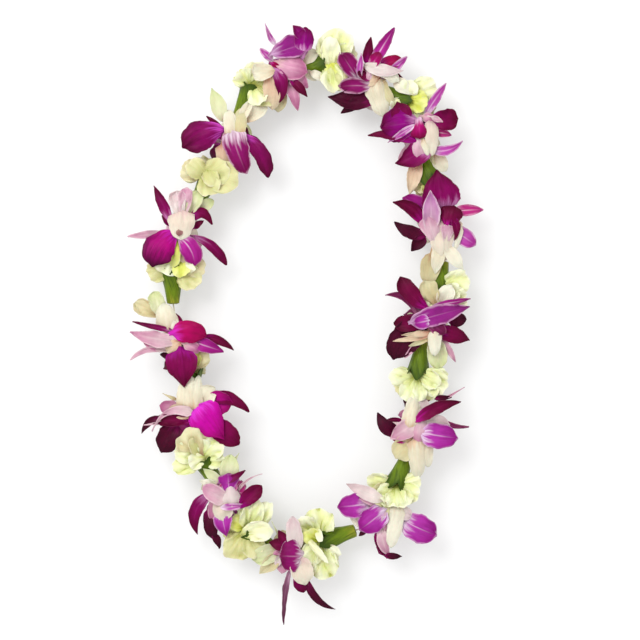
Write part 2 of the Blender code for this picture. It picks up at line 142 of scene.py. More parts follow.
@dataclass(frozen=True)
class Outline:
    """How a petal's width runs along it: how fast it widens, how fast it closes, and how wide it starts."""

    rise: float
    fall: float
    foot: float
    fan: bool = False

    def share(self, along: float) -> float:
        """The width at this share of the length, as a share of the greatest width."""
        if self.fan:
            return self.foot + (1 - self.foot) * along**self.rise
        widest = self.rise / (self.rise + self.fall)
        full = (along / widest) ** self.rise * ((1 - along) / (1 - widest)) ** self.fall
        return full + self.foot * (1 - along) ** 2


class Form(Enum):
    """The kinds of petal on the string."""

    BROAD = Outline(0.80, 0.42, 0.22)
    ROUND = Outline(0.52, 0.40, 0.34)
    HEART = Outline(0.42, 0.74, 0.30)
    SEPAL = Outline(0.55, 0.62, 0.30)
    LEAF = Outline(0.70, 0.80, 0.20)
    STRAP = Outline(0.22, 0.28, 0.40)
    THREAD = Outline(0.10, 0.80, 0.60)
    LIP = Outline(0.75, 0.30, 0.25)
    FLARE = Outline(1.5, 0.34, 0.42)
    FRILL = Outline(0.8, 0.0, 0.28, fan=True)


@dataclass(frozen=True)
class Blade:
    """One petal: its ends, seen from its flower's place on the string, and how it bends between them.

    A bow bends it to its left and an arch bends it up, both as shares of its length. A roll turns it about
    its length, and a twist is the roll gained by its tip, in degrees. A cup lifts its edges, as a share of
    half its width, a curl lifts its tip, and a ruffle is the height of the waves along its edges.
    """

    form: Form
    tone: Tone
    base: Point
    tip: Point
    width: float
    bow: float = 0.0
    arch: float = 0.10
    roll: float = 0.0
    twist: float = 0.0
    cup: float = 0.16
    curl: float = 0.0
    ruffle: float = 0.4

    @property
    def fan(self) -> bool:
        """Whether it is a carnation's toothed fan."""
        return self.form.value.fan


@dataclass(frozen=True)
class Cluster:
    """A purple and a cream orchid at one place on the string, and the carnation that follows them.

    The mouth is how far along the string its calyx opens, the bloom is how far its petals reach, and the
    tooth is how long its calyx's teeth are.
    """

    place: Plan
    purple: tuple[Blade, ...]
    cream: tuple[Blade, ...]
    carnation: Plan
    mouth: float
    bloom: float
    frills: tuple[Blade, ...]
    tooth: float = 10.0


# A side petal of an orchid, widest beyond its middle.
broad = partial(Blade, Form.BROAD)
# A nearly round petal.
dome = partial(Blade, Form.ROUND)
# A petal that is wide near its claw and closes to a point.
heart = partial(Blade, Form.HEART)
# A narrow outer petal.
sepal = partial(Blade, Form.SEPAL)
# A petal that is pointed at both ends.
leaf = partial(Blade, Form.LEAF)
# A petal with nearly parallel sides, rounded over like the side of a tube.
strap = partial(Blade, Form.STRAP, cup=-0.35)
# A dried whisker or a thin rolled tip.
thread = partial(Blade, Form.THREAD, cup=0.5, ruffle=0.0)
# A lobe that widens all the way to its end, like a trumpet's side.
flare = partial(Blade, Form.FLARE, cup=-0.25, ruffle=0.8)
# The ruffled lip of an orchid.
lip = partial(Blade, Form.LIP, cup=0.35, ruffle=1.6)

# A carnation's petal, spread flat, is this many times wider than it looks.
FRILL_SPREAD = 1.25


def frill(tone: Tone, base: Point, tip: Point, width: float, **bends: float) -> Blade:
    """A carnation's fan-shaped petal, with saw teeth and waves along its margin."""
    return Blade(Form.FRILL, tone, base, tip, width * FRILL_SPREAD, **{"ruffle": 2.0, "cup": 0.1, **bends})


# Ends are (x, y, height) from the cluster's place on the string. A frill's are from its carnation's mouth.
CLUSTERS = (
    Cluster(
        place=(-15, 221),
        purple=(
            sepal(LILAC, (-11, 23, 6), (-20, 40, 9), 5, twist=70, bow=0.06),
            sepal(LILAC, (-14, 9, 5), (-24, 19, 7), 6),
            broad(LAVENDER, (-14, 15, 9), (16, 23, 14), 21, roll=-8, cup=0.25),
            dome(IRIS, (13, 16, 16), (15, 35, 18), 16, cup=-0.15),
            leaf(IRIS, (15, 26, 18), (5, 37, 18), 10),
            dome(DUSTY, (-10, 6, 12), (15, -2, 15), 20, cup=-0.15),
            heart(DUSTY, (4, -4, 12), (16, -14, 9), 15),
            sepal(CRIMSON, (-15, 6, 14), (-7, 2, 15), 5, cup=0.5),
            leaf(VIOLET, (-13, 1, 14), (-7, -26, 12), 12, bow=0.16),
            sepal(DUSTY, (1, -7, 10), (8, -33, 8), 10),
            leaf(WINE, (2, -7, 13), (15, -22, 11), 8, twist=-30),
        ),
        cream=(
            lip(CREAM, (-12, -1, 15), (-30, -3, 14), 17, ruffle=1.3),
            strap(PEACH, (-12, -4, 14), (-14, -32, 9), 16, cup=-0.2),
            dome(CREAM, (10, 9, 4), (25, 17, 5), 12),
            dome(CREAM, (13, 3, 5), (26, -6, 4), 11),
            dome(WHITE, (20, -1, 7), (31, -7, 6), 7),
            dome(CREAM_IN_SHADE, (-8, -14, 4), (-9, -34, 2), 14),
        ),
        carnation=(24, 227),
        mouth=32,
        bloom=26,
        tooth=3.0,
        frills=(
            frill(LIME, (6, 2, 4), (15, 29, 10), 23),
            frill(LIME, (3, -1, 3), (26, 13, 6), 17),
            frill(LIME, (4, 2, 8), (-1, 22, 11), 14),
            frill(PALE_LIME, (5, -3, 9), (5, 21, 13), 14, ruffle=2.6),
            frill(LIME, (5, 1, 10), (8, -24, 11), 16, ruffle=2.8),
            frill(LIME_IN_SHADE, (5, 2, 8), (13, -23, 7), 16),
            frill(YELLOW, (3, 3, 8), (11, -7, 10), 13),
        ),
    ),
    Cluster(
        place=(55, 210),
        purple=(
            broad(FLAMED, (-9, 3, 10), (-24, 25, 13), 16, roll=10),
            sepal(LILAC, (-7, 4, 13), (-7, 24, 16), 9, roll=-50, cup=0.3),
            leaf(WINE, (-2, 16, 12), (1, 38, 14), 9, twist=40),
            sepal(ORCHID, (3, 16, 10), (21, 46, 13), 10),
            dome(MAGENTA, (2, 14, 15), (9, 25, 17), 10, roll=-20),
            dome(CRIMSON, (10, 15, 12), (28, 20, 13), 12),
            sepal(LILAC, (18, 8, 11), (32, 22, 12), 7, twist=30),
            leaf(WINE, (15, 9, 8), (29, 5, 7), 8),
            broad(FLAMED, (3, -3, 13), (-25, -3, 12), 14, roll=-14),
            heart(PURPLE_IN_SHADE, (4, -8, 7), (-33, -12, 8), 19, bow=0.1),
            leaf(PURPLE_IN_SHADE, (0, -10, 5), (-23, -25, 6), 11),
            dome(WINE, (0, 2, 15), (-9, 9, 17), 9, roll=30),
        ),
        cream=(
            leaf(PALE, (-4, 15, 16), (28, 10, 15), 11, bow=-0.08),
            flare(WHITE, (3, 8, 15), (25, 2, 14), 10, bow=0.08),
            strap(PINK, (2, 13, 15), (-2, 0, 14), 7),
            strap(CREAM, (4, 3, 11), (12, -27, 9), 18),
            strap(CREAM_IN_SHADE, (9, 2, 12), (21, -19, 9), 9),
            dome(PEACH, (8, 4, 13), (-4, -1, 14), 9, cup=-0.2),
            leaf(WHITE, (22, 3, 9), (38, -9, 8), 12),
        ),
        carnation=(91, 192),
        mouth=35,
        bloom=19,
        frills=(
            frill(PALE_LIME, (0, 3, 7), (2, 17, 12), 15),
            frill(LIME, (5, 3, 4), (27, 13, 8), 22),
            frill(YELLOW, (3, 0, 9), (18, -2, 12), 17),
            frill(LIME, (3, -3, 5), (24, -14, 7), 19),
            frill(LIME, (0, -4, 4), (10, -18, 5), 14),
            frill(PALE_LIME, (-1, 1, 12), (-11, -9, 12), 12),
        ),
    ),
    Cluster(
        place=(100, 163),
        purple=(
            broad(IRIS, (-3, 13, 12), (-33, 8, 15), 29, cup=-0.12),
            leaf(DEEP, (-14, 12, 15), (-20, 29, 14), 19),
            flare(MAGENTA, (-2, 14, 17), (-1, -1, 17), 15),
            leaf(LILAC, (-5, 10, 17), (-27, -4, 14), 6),
            sepal(LILAC, (4, 20, 8), (21, 45, 12), 8),
            sepal(DUSTY, (2, 18, 11), (12, 15, 12), 8),
            lip(DEEP, (9, 14, 12), (31, 15, 13), 20),
            leaf(PINK, (9, 17, 15), (18, 13, 15), 5),
            sepal(ROSE, (13, 5, 8), (26, 2, 9), 7),
            leaf(DEEP, (-4, -4, 13), (-43, 2, 10), 10, bow=-0.06),
            heart(VIOLET, (3, -8, 12), (-20, -22, 10), 19, bow=0.1),
            leaf(LILAC, (9, -11, 9), (35, -5, 11), 9, bow=-0.14),
        ),
        cream=(
            strap(BLUSH, (9, 14, 14), (10, -14, 13), 11),
            strap(PINK, (2, -1, 13), (-1, -18, 12), 15, cup=-0.2),
            strap(CREAM, (2, -3, 16), (6, -15, 15), 6, cup=-0.6),
            dome(CREAM, (12, -14, 4), (22, -28, 3), 13),
            leaf(PEACH, (-2, -20, 6), (-9, -47, 4), 13),
            dome(CREAM_IN_SHADE, (0, -10, 5), (10, -30, 3), 14),
        ),
        carnation=(107, 134),
        mouth=37,
        bloom=13,
        frills=(
            frill(LIME, (1, 0, 7), (14, -6, 10), 14),
            frill(LIME_IN_SHADE, (-1, 0, 2), (-12, -8, 2), 12),
            frill(YELLOW, (0, -1, 9), (1, -13, 11), 14),
        ),
    ),
    Cluster(
        place=(115, 90),
        purple=(
            heart(VIOLET, (4, 10, 10), (-1, 42, 14), 31, cup=-0.12),
            dome(ORCHID, (-8, 7, 7), (-29, 20, 9), 16),
            leaf(ASTER, (-6, -9, 12), (-7, 24, 19), 16, cup=0.3),
            leaf(WINE, (-13, -2, 9), (-37, 16, 10), 12, bow=-0.14, curl=0.2),
            leaf(PURPLE_IN_SHADE, (-10, -12, 9), (-36, -2, 8), 12, bow=0.1),
            leaf(PURPLE_IN_SHADE, (-11, -13, 8), (-22, -25, 5), 11),
            lip(WINE, (8, -4, 15), (13, 12, 16), 20, cup=-0.3),
            leaf(DEEP, (12, 4, 15), (15, -15, 16), 7, bow=0.1),
            sepal(ROSE, (15, 9, 9), (38, 10, 9), 10),
            dome(LILAC, (14, -8, 9), (32, -20, 8), 15, ruffle=0.9),
        ),
        cream=(
            flare(PINK, (-2, -20, 13), (-9, 3, 14), 20, cup=-0.3),
            strap(BLUSH, (3, -3, 14), (4, -34, 11), 19, cup=-0.3),
            leaf(CREAM, (1, -22, 12), (-2, -44, 10), 12),
            leaf(WHITE, (7, -22, 13), (21, -41, 10), 12),
            flare(PINK, (7, -20, 15), (8, -4, 16), 13, cup=0.3),
            strap(WHITE, (20, -5, 14), (15, -24, 12), 5),
            dome(CREAM_IN_SHADE, (-4, -28, 6), (-9, -53, 4), 17),
        ),
        carnation=(120, 43),
        mouth=63,
        bloom=26,
        frills=(
            frill(LIME, (3, 4, 5), (26, 14, 8), 18),
            frill(LIME, (4, -2, 6), (23, -10, 9), 20),
            frill(PALE_LIME, (4, 1, 9), (19, 2, 12), 12),
            frill(CREAM, (3, -6, 4), (14, -23, 4), 12),
            frill(PALE_LIME, (-1, -3, 9), (-9, -14, 11), 15),
            frill(CREAM_IN_SHADE, (-4, -2, 5), (-20, -8, 6), 15),
        ),
    ),
    Cluster(
        place=(105, 0),
        purple=(
            broad(WINE, (0, 15, 12), (-22, 40, 15), 16, bow=0.08),
            leaf(PLUM, (-6, 6, 9), (-33, 26, 10), 9, bow=-0.22),
            leaf(ORCHID, (5, 16, 12), (36, 22, 12), 6),
            leaf(LAVENDER, (-14, 2, 16), (34, 15, 15), 18, cup=0.25),
            dome(AMETHYST, (3, 4, 20), (-11, 1, 20), 12, cup=-0.1),
            dome(PLUM, (2, 2, 18), (15, -7, 16), 11),
            broad(WINE, (-2, 1, 12), (-27, 1, 11), 15),
            dome(PURPLE_IN_SHADE, (-3, -2, 8), (-28, -28, 7), 26, bow=-0.12),
            leaf(WINE, (11, -5, 10), (36, -13, 9), 15),
            dome(PURPLE_IN_SHADE, (19, 4, 9), (34, 5, 9), 12),
            sepal(PINK, (12, -9, 8), (25, -31, 5), 6),
        ),
        cream=(
            leaf(PEACH, (4, -7, 15), (-20, -9, 14), 5, ruffle=1.0),
            leaf(PEACH, (2, -10, 14), (-27, -14, 12), 5, ruffle=0.8),
            leaf(CREAM_IN_SHADE, (2, -12, 13), (-14, -18, 12), 5),
            strap(WHITE, (7, -5, 17), (7, -25, 14), 11, cup=-0.5),
            dome(MINT, (8, -14, 9), (11, -37, 7), 17),
            lip(CREAM_IN_SHADE, (8, 18, 11), (-1, 37, 12), 17, ruffle=2.8),
            dome(WHITE, (12, 18, 12), (21, 33, 12), 15),
            sepal(DUSTY, (-7, -15, 10), (-18, -28, 9), 5),
        ),
        carnation=(98, -44),
        mouth=43,
        bloom=26,
        frills=(
            frill(LIME, (-3, -5, 5), (-25, -1, 7), 13),
            frill(LIME_IN_SHADE, (-4, -4, 7), (-18, -16, 8), 17),
            frill(LIME, (-2, -4, 10), (-7, -24, 12), 20),
            frill(LIME, (2, -4, 9), (10, -23, 11), 20),
            frill(LIME, (4, -2, 8), (24, -12, 9), 20),
            frill(LIME, (4, -1, 5), (26, 0, 6), 11),
            frill(LIME, (3, 0, 10), (18, -9, 13), 14, ruffle=2.6),
        ),
    ),
    Cluster(
        place=(98, -88),
        purple=(
            leaf(WINE, (-3, 4, 16), (34, 21, 15), 11, bow=0.08),
            leaf(PINK, (0, 13, 14), (26, 18, 12), 5),
            leaf(PURPLE_IN_SHADE, (14, 24, 9), (28, 25, 10), 5),
            thread(DUSTY, (22, 23, 9), (39, 33, 10), 2.4),
            leaf(PLUM, (14, 8, 9), (42, -1, 8), 5, bow=-0.08),
            leaf(PURPLE_IN_SHADE, (-15, -6, 9), (-35, 10, 12), 13, bow=0.14),
            leaf(WINE, (-13, 4, 8), (-30, 3, 9), 4, bow=-0.12),
            leaf(PINK, (-2, 3, 14), (-23, -10, 13), 17),
            sepal(MAGENTA, (-11, -13, 11), (-24, -9, 12), 7),
            dome(PALE, (2, 6, 12), (26, 1, 12), 13),
            dome(AMETHYST, (3, -6, 15), (32, -10, 14), 21, cup=-0.06),
            dome(PINK, (2, 9, 12), (0, -13, 14), 14, cup=-0.25),
        ),
        cream=(
            strap(CREAM, (-8, -1, 13), (-3, 26, 11), 14),
            dome(PALE, (0, 8, 10), (7, 22, 9), 12),
            dome(CREAM_IN_SHADE, (-6, -12, 11), (-19, -27, 9), 21),
            strap(CREAM, (-2, -12, 12), (0, -44, 8), 15),
            strap(CREAM, (7, -14, 11), (9, -34, 7), 10),
        ),
        carnation=(80, -136),
        mouth=55,
        bloom=23,
        frills=(
            frill(LIME, (-4, -2, 5), (-24, 6, 7), 13),
            frill(LIME_IN_SHADE, (-4, -4, 9), (-20, -11, 13), 17),
            frill(LIME, (-2, -4, 12), (-5, -17, 18), 18),
            frill(LIME, (2, -4, 11), (8, -17, 17), 15),
            frill(LIME, (4, -2, 8), (19, -10, 13), 15),
            frill(LIME, (4, 1, 6), (21, 3, 8), 14),
            frill(LIME, (-3, -2, 11), (-14, -10, 17), 14),
            frill(LIME, (0, -3, 13), (1, -18, 18), 16, arch=0.2),
            frill(LIME, (-5, -3, 10), (-12, -16, 15), 12),
        ),
    ),
    Cluster(
        place=(69, -169),
        purple=(
            dome(AMETHYST, (-15, 13, 10), (-40, 11, 13), 20),
            dome(AMETHYST, (0, 8, 13), (-21, -8, 13), 21, cup=-0.1),
            leaf(PALE, (-2, 17, 14), (-32, 30, 11), 12),
            sepal(PINK, (-3, 13, 12), (-21, 18, 13), 7),
            dome(AMETHYST, (17, -2, 9), (44, -14, 10), 23),
            leaf(VIOLET, (-5, -6, 9), (1, -33, 6), 7, bow=-0.12),
            leaf(PINK, (-3, -7, 11), (4, -32, 7), 10, bow=-0.08),
            leaf(PURPLE_IN_SHADE, (0, -32, 7), (14, -33, 5), 6),
            leaf(PURPLE_IN_SHADE, (-16, -9, 8), (-22, -14, 8), 5),
        ),
        cream=(
            dome(CREAM_IN_SHADE, (3, 20, 8), (-1, 4, 12), 17, cup=-0.2),
            strap(WHITE, (12, 13, 10), (5, -22, 13), 13, cup=-0.25),
            leaf(PINK, (4, 17, 8), (1, -12, 11), 12),
            dome(PALE, (10, 19, 8), (11, -2, 11), 14, cup=-0.2),
            leaf(WHITE, (-16, -3, 8), (-29, 0, 8), 11),
            dome(PALE, (12, 9, 10), (22, 2, 9), 12),
        ),
        carnation=(17, -188),
        mouth=56,
        bloom=27,
        frills=(
            frill(LIME, (-5, 5, 6), (-4, 28, 10), 23, ruffle=3.0),
            frill(LIME, (-6, 4, 9), (-22, 19, 12), 17, ruffle=2.6),
            frill(YELLOW, (-5, 1, 12), (-17, 9, 15), 12),
            frill(PALE_LIME, (-16, 4, 17), (3, -17, 18), 5, cup=-0.4, ruffle=1.6),
            frill(LIME_IN_SHADE, (-6, -1, 8), (-24, -14, 10), 16),
            frill(LIME, (-5, -2, 10), (-15, -17, 12), 16, ruffle=2.6),
            frill(LIME, (-3, -5, 7), (3, -33, 8), 21, ruffle=3.0),
            frill(PALE_LIME, (-2, -7, 6), (13, -14, 7), 13),
            frill(PALE_LIME, (-6, 12, 13), (-3, 0, 15), 5, ruffle=0.6),
        ),
    ),
    Cluster(
        place=(-14, -202),
        purple=(
            dome(FLAMED, (10, 2, 15), (-8, 2, 17), 29, cup=-0.35),
            leaf(WINE, (-2, 11, 12), (-9, 23, 13), 9, cup=0.3),
            leaf(WINE, (-3, 10, 11), (-17, 13, 12), 10),
            thread(MINT, (-9, 18, 6), (-15, 30, 7), 1.8),
            sepal(DUSTY, (-5, 7, 9), (-13, 3, 10), 6),
            leaf(PALE, (-7, 3, 9), (-12, -9, 8), 7, cup=0.4),
            sepal(ASH, (0, -12, 8), (-5, -57, 4), 5, bow=-0.03, twist=30),
            leaf(PURPLE_IN_SHADE, (-3, -22, 9), (-5, -34, 8), 5),
            dome(VIOLET, (8, -15, 9), (12, -30, 8), 13),
            leaf(PURPLE_IN_SHADE, (15, -19, 8), (37, -45, 5), 7, bow=-0.13),
            dome(PINK, (-4, 2, 7), (-7, -13, 8), 12),
        ),
        cream=(
            dome(PALE, (6, 6, 12), (3, 34, 14), 14),
            dome(BLUSH, (8, 0, 15), (14, -22, 13), 19),
            strap(PALE, (6, 6, 14), (8, -8, 15), 11),
            dome(MINT, (-9, 6, 8), (-31, -2, 8), 17),
            leaf(CREAM_IN_SHADE, (-9, 2, 7), (-25, -14, 6), 13),
        ),
        carnation=(-50, -180),
        mouth=43,
        bloom=25,
        tooth=3.0,
        frills=(
            frill(LIME, (0, 2, 9), (7, 29, 12), 18),
            frill(LIME, (4, 3, 7), (19, 24, 9), 14),
            frill(PALE_LIME, (-4, -3, 13), (22, -2, 14), 15, bow=0.1),
            frill(LIME_IN_SHADE, (-3, -2, 7), (-15, -24, 8), 21, ruffle=2.8),
            frill(LIME_IN_SHADE, (1, -5, 8), (9, -21, 9), 17),
            frill(YELLOW, (-3, 2, 8), (-12, 12, 10), 14),
            frill(LIME, (-2, 3, 11), (-2, 22, 14), 10, roll=40),
        ),
    ),
    Cluster(
        place=(-73, -149),
        purple=(
            flare(AMETHYST, (7, 1, 13), (6, 19, 15), 19),
            leaf(VIOLET, (0, 13, 15), (20, 22, 16), 6, bow=-0.05),
            dome(ROSE, (5, 3, 12), (8, 14, 14), 15),
            thread(PINK, (15, 6, 10), (34, 19, 10), 2.4, bow=0.1),
            broad(DEEP, (15, -8, 13), (34, 8, 14), 14, ruffle=1.4),
            dome(ROSE, (14, 3, 10), (19, 10, 10), 8),
            sepal(LILAC, (0, -9, 15), (22, -8, 14), 6),
            dome(PINK, (4, -3, 14), (-15, 8, 14), 15),
            leaf(VIOLET, (-10, 1, 9), (-22, -31, 7), 12, bow=-0.2),
            sepal(DUSTY, (-5, -2, 11), (-9, -20, 10), 10),
            dome(PURPLE_IN_SHADE, (-11, -12, 9), (-8, -36, 8), 12),
            leaf(PURPLE_IN_SHADE, (-8, -33, 8), (-2, -45, 7), 7, bow=0.1),
            heart(AMETHYST, (0, -14, 13), (4, -33, 12), 15),
            dome(BLUSH, (0, -3, 14), (3, -20, 14), 17),
        ),
        cream=(
            strap(PALE, (9, -9, 13), (8, 8, 15), 14),
            dome(MINT, (6, 14, 10), (8, 35, 10), 16),
            thread(MINT, (11, 31, 8), (15, 37, 8), 3),
            leaf(MINT, (0, 12, 10), (-15, 23, 10), 9),
            leaf(WHITE, (-2, 9, 11), (-18, 13, 11), 8),
        ),
        carnation=(-92, -110),
        mouth=34,
        bloom=22,
        tooth=3.0,
        frills=(
            frill(CREAM_IN_SHADE, (-4, 7, 14), (-16, 26, 14), 22),
            frill(LIME_IN_SHADE, (-3, 6, 11), (-9, 21, 14), 13, roll=35),
            frill(LIME, (-1, 5, 9), (1, 19, 11), 11),
            frill(LIME, (0, 4, 9), (14, 19, 12), 18),
            frill(LIME, (1, 1, 8), (17, 5, 10), 18),
            frill(LIME, (-4, 4, 10), (-24, 10, 12), 16),
            frill(LIME, (-2, 0, 12), (-27, -7, 11), 14),
            frill(PALE_LIME, (0, 2, 14), (-12, -2, 15), 12),
        ),
    ),
    Cluster(
        place=(-97, -76),
        purple=(
            heart(FUCHSIA, (3, 5, 15), (25, -21, 14), 27, cup=-0.15),
            dome(GLOW, (10, 8, 11), (32, 8, 12), 20),
            sepal(DEEP, (11, 11, 10), (46, 2, 9), 11, bow=0.17),
            dome(DEEP, (16, -9, 10), (38, -27, 9), 19),
            dome(DUSTY, (-14, 2, 9), (-29, 6, 10), 13),
            thread(PINK, (-2, 0, 14), (-35, -14, 11), 7, bow=-0.22),
            lip(WINE, (0, -6, 12), (-31, -7, 10), 12, ruffle=2.6),
            dome(PURPLE_IN_SHADE, (-16, -11, 8), (-28, -34, 6), 20),
            leaf(PURPLE_IN_SHADE, (-28, -5, 9), (-45, -17, 7), 7, bow=-0.15),
            thread(PINK, (-26, -9, 10), (-43, -11, 9), 3),
        ),
        cream=(
            strap(CREAM, (-3, 3, 13), (-4, 30, 11), 21, cup=-0.25),
            strap(CREAM, (2, 3, 14), (4, 30, 12), 9),
            dome(CREAM, (2, 6, 12), (17, 21, 12), 17),
            thread(CREAM_IN_SHADE, (-16, 11, 8), (-27, 16, 8), 3),
            dome(PEACH, (-2, 0, 13), (-21, 2, 12), 13),
        ),
        carnation=(-99, -49),
        mouth=34,
        bloom=12,
        frills=(
            frill(CREAM_IN_SHADE, (4, 5, 7), (13, 20, 9), 15),
            frill(YELLOW, (3, 6, 9), (8, 17, 11), 8),
            frill(LIME_IN_SHADE, (-3, 3, 5), (-10, 10, 6), 10),
        ),
    ),
    Cluster(
        place=(-110, -18),
        purple=(
            dome(EMBER, (-4.5, 10.5, 18), (22.5, 9, 19), 18.5, bow=0.08, cup=-0.2),
            sepal(ORCHID, (9, 5, 13), (37, -5, 12), 12),
            leaf(WINE, (20, 7, 10), (46, -3, 9), 8, bow=0.1),
            leaf(WINE, (3, 16, 11), (-10, 30, 11), 10),
            heart(DEEP, (2, -4, 18), (5, -34, 16), 25, cup=-0.12),
            leaf(PINK, (0, 4, 15), (-40, 11, 13), 13, bow=0.04),
            leaf(VIOLET, (-2, 12, 14), (-38, 20, 12), 5),
            leaf(DUSTY, (-10, -2, 12), (-31, 4, 12), 6, bow=0.14),
            leaf(PURPLE_IN_SHADE, (-8, -2, 9), (-27, 0, 9), 9),
            sepal(PINK, (-9, -5, 11), (-41, -11, 8), 5, bow=-0.14),
            leaf(PURPLE_IN_SHADE, (-6, -9, 8), (-16, -8, 8), 7),
            dome(DUSTY, (5, 2, 17), (18, -4, 14), 10),
        ),
        cream=(
            strap(CREAM, (-9, 13, 13), (-13, 35, 12), 18),
            strap(WHITE, (-5, 13, 14), (-6, 24, 14), 12),
            lip(MINT, (-15, 26, 10), (-22, 46, 10), 15, ruffle=3.0),
            lip(CREAM_IN_SHADE, (-16, 27, 9), (-38, 36, 9), 15, ruffle=3.0),
            dome(PEACH, (1, 3, 16), (-10, -5, 14), 12, cup=-0.2),
        ),
        carnation=(-117, 35),
        mouth=65,
        bloom=25,
        frills=(
            frill(LIME_IN_SHADE, (-3, 2, 4), (-21, -2, 6), 17),
            frill(PALE_LIME, (-1, 12, 12), (-7, -2, 12), 22, roll=-10),
            frill(YELLOW, (6, 9, 14), (11, -5, 13), 13),
            frill(PALE_LIME, (9, 8, 15), (20, 0, 14), 7),
            frill(CREAM_IN_SHADE, (8, 5, 9), (29, 3, 9), 15),
            frill(LIME_IN_SHADE, (5, 1, 8), (24, -11, 9), 19),
        ),
    ),
    Cluster(
        place=(-110, 76),
        purple=(
            broad(BLAZE, (-3, 3, 15.5), (-22, -24, 17), 27, bow=-0.1, cup=-0.12),
            broad(ORCHID, (0, 0, 15), (14, -23, 15), 18, bow=0.12, cup=-0.1),
            sepal(PINK, (-10, 3, 10), (-43, 1, 9), 7),
            leaf(VIOLET, (-7, 14, 12), (-21, 43, 10), 9),
            leaf(VIOLET, (-6, 10, 10), (-14, 18, 10), 6),
            sepal(DEEP, (10, 14, 14), (28, 13, 12), 9, bow=0.42),
            leaf(WINE, (12, 8, 10), (21, 14, 11), 6),
            broad(VIOLET, (12, 1, 11), (40, -22, 8), 9, bow=0.1),
        ),
        cream=(
            strap(BLUSH, (2, 22, 15), (3, -1, 18), 21, cup=-0.3),
            lip(PALE, (1, 18, 14), (-2, 39, 12), 16),
            lip(PINK, (4, 18, 15), (7, 42, 13), 13),
            lip(MINT, (8, 19, 13), (17, 39, 12), 14),
            dome(MINT, (15, 22, 9), (29, 32, 8), 11),
            dome(BRUISE, (1, 6, 20), (1, 1, 20), 6, ruffle=0),
            lip(YELLOW, (-2, -4, 13), (-7, -25, 12), 15),
            dome(PEACH, (1, -4, 12), (5, -21, 11), 13),
        ),
        carnation=(-84, 128),
        mouth=58,
        bloom=24,
        tooth=3.0,
        frills=(
            frill(LIME_IN_SHADE, (-5, 1, 11), (17, 8, 13), 19, ruffle=0.8),
            frill(LIME_IN_SHADE, (0, 3, 12), (26, -3, 12), 24, ruffle=0.8),
            frill(LIME_IN_SHADE, (-4, 2, 14), (4, -15, 14), 17, ruffle=0.9),
            frill(CREAM_IN_SHADE, (-6, 3, 9), (-24, 8, 9), 17),
            frill(LIME_IN_SHADE, (-2, 2, 12), (-18, 12, 13), 15, ruffle=1.2),
            frill(LIME_IN_SHADE, (-2, 8, 14), (5, -7, 15), 12, ruffle=1.2),
        ),
    ),
    Cluster(
        place=(-64, 166),
        purple=(
            broad(DUSK, (-8, 3, 13), (-41, -11, 14), 26, bow=-0.06, cup=-0.12),
            strap(FLAMED, (1, 1, 16), (12, -33, 14), 19, cup=-0.12, bow=-0.03),
            broad(DUSK, (9, -2, 13), (31, -35, 10), 15, bow=0.12),
            leaf(WINE, (12, -4, 10), (26, -9, 9), 9),
            leaf(WINE, (-7, 3, 10), (-21, 14, 11), 5),
            thread(LILAC, (-28, 2, 10), (-37, 8, 10), 3),
            thread(PINK, (-38, -3, 9), (-45, -3, 8), 2.5),
            leaf(WINE, (9, 4, 11), (14, 1, 12), 6),
            leaf(DUSTY, (-4, 2, 11), (-7, -10, 11), 6),
        ),
        cream=(
            strap(CREAM, (1, -1, 15), (-3, 19, 13), 12),
            strap(CREAM_IN_SHADE, (5, -1, 15), (9, 21, 13), 12),
            leaf(MINT, (-6, 10, 11), (-17, 38, 10), 13),
            leaf(CREAM, (7, 10, 12), (18, 31, 10), 9),
            dome(CREAM, (10, 12, 10), (29, 23, 8), 12),
            strap(PEACH, (-7, -9, 9), (-5, -29, 7), 14),
            dome(BRUISE, (-8, -25, 10), (-8, -32, 9), 7, ruffle=0),
        ),
        carnation=(-50, 205),
        mouth=46,
        bloom=21,
        tooth=3.0,
        frills=(
            frill(LIME, (2, 3, 9), (6, 20, 11), 17),
            frill(LIME_IN_SHADE, (3, 0, 12), (20, -14, 12), 19),
            frill(LIME, (2, -2, 13), (7, -17, 14), 15, ruffle=2.8),
            frill(LIME, (-3, 2, 9), (-9, 12, 11), 16, ruffle=2.8),
            frill(YELLOW, (4, 2, 7), (16, 2, 9), 14),
            frill(LIME, (3, 3, 8), (20, 10, 9), 16),
        ),
    ),
)


# ---------------------------------------------------------------- the string's route

# The string's height in the flowers' plan, and how far from that plan the frame lies.
STRING_HEIGHT = 24.0
SETTLED = Vector((0.41, -0.10, -0.70))
# How finely a distance along the line is found, in places.
ROUTE_STEP = 0.02


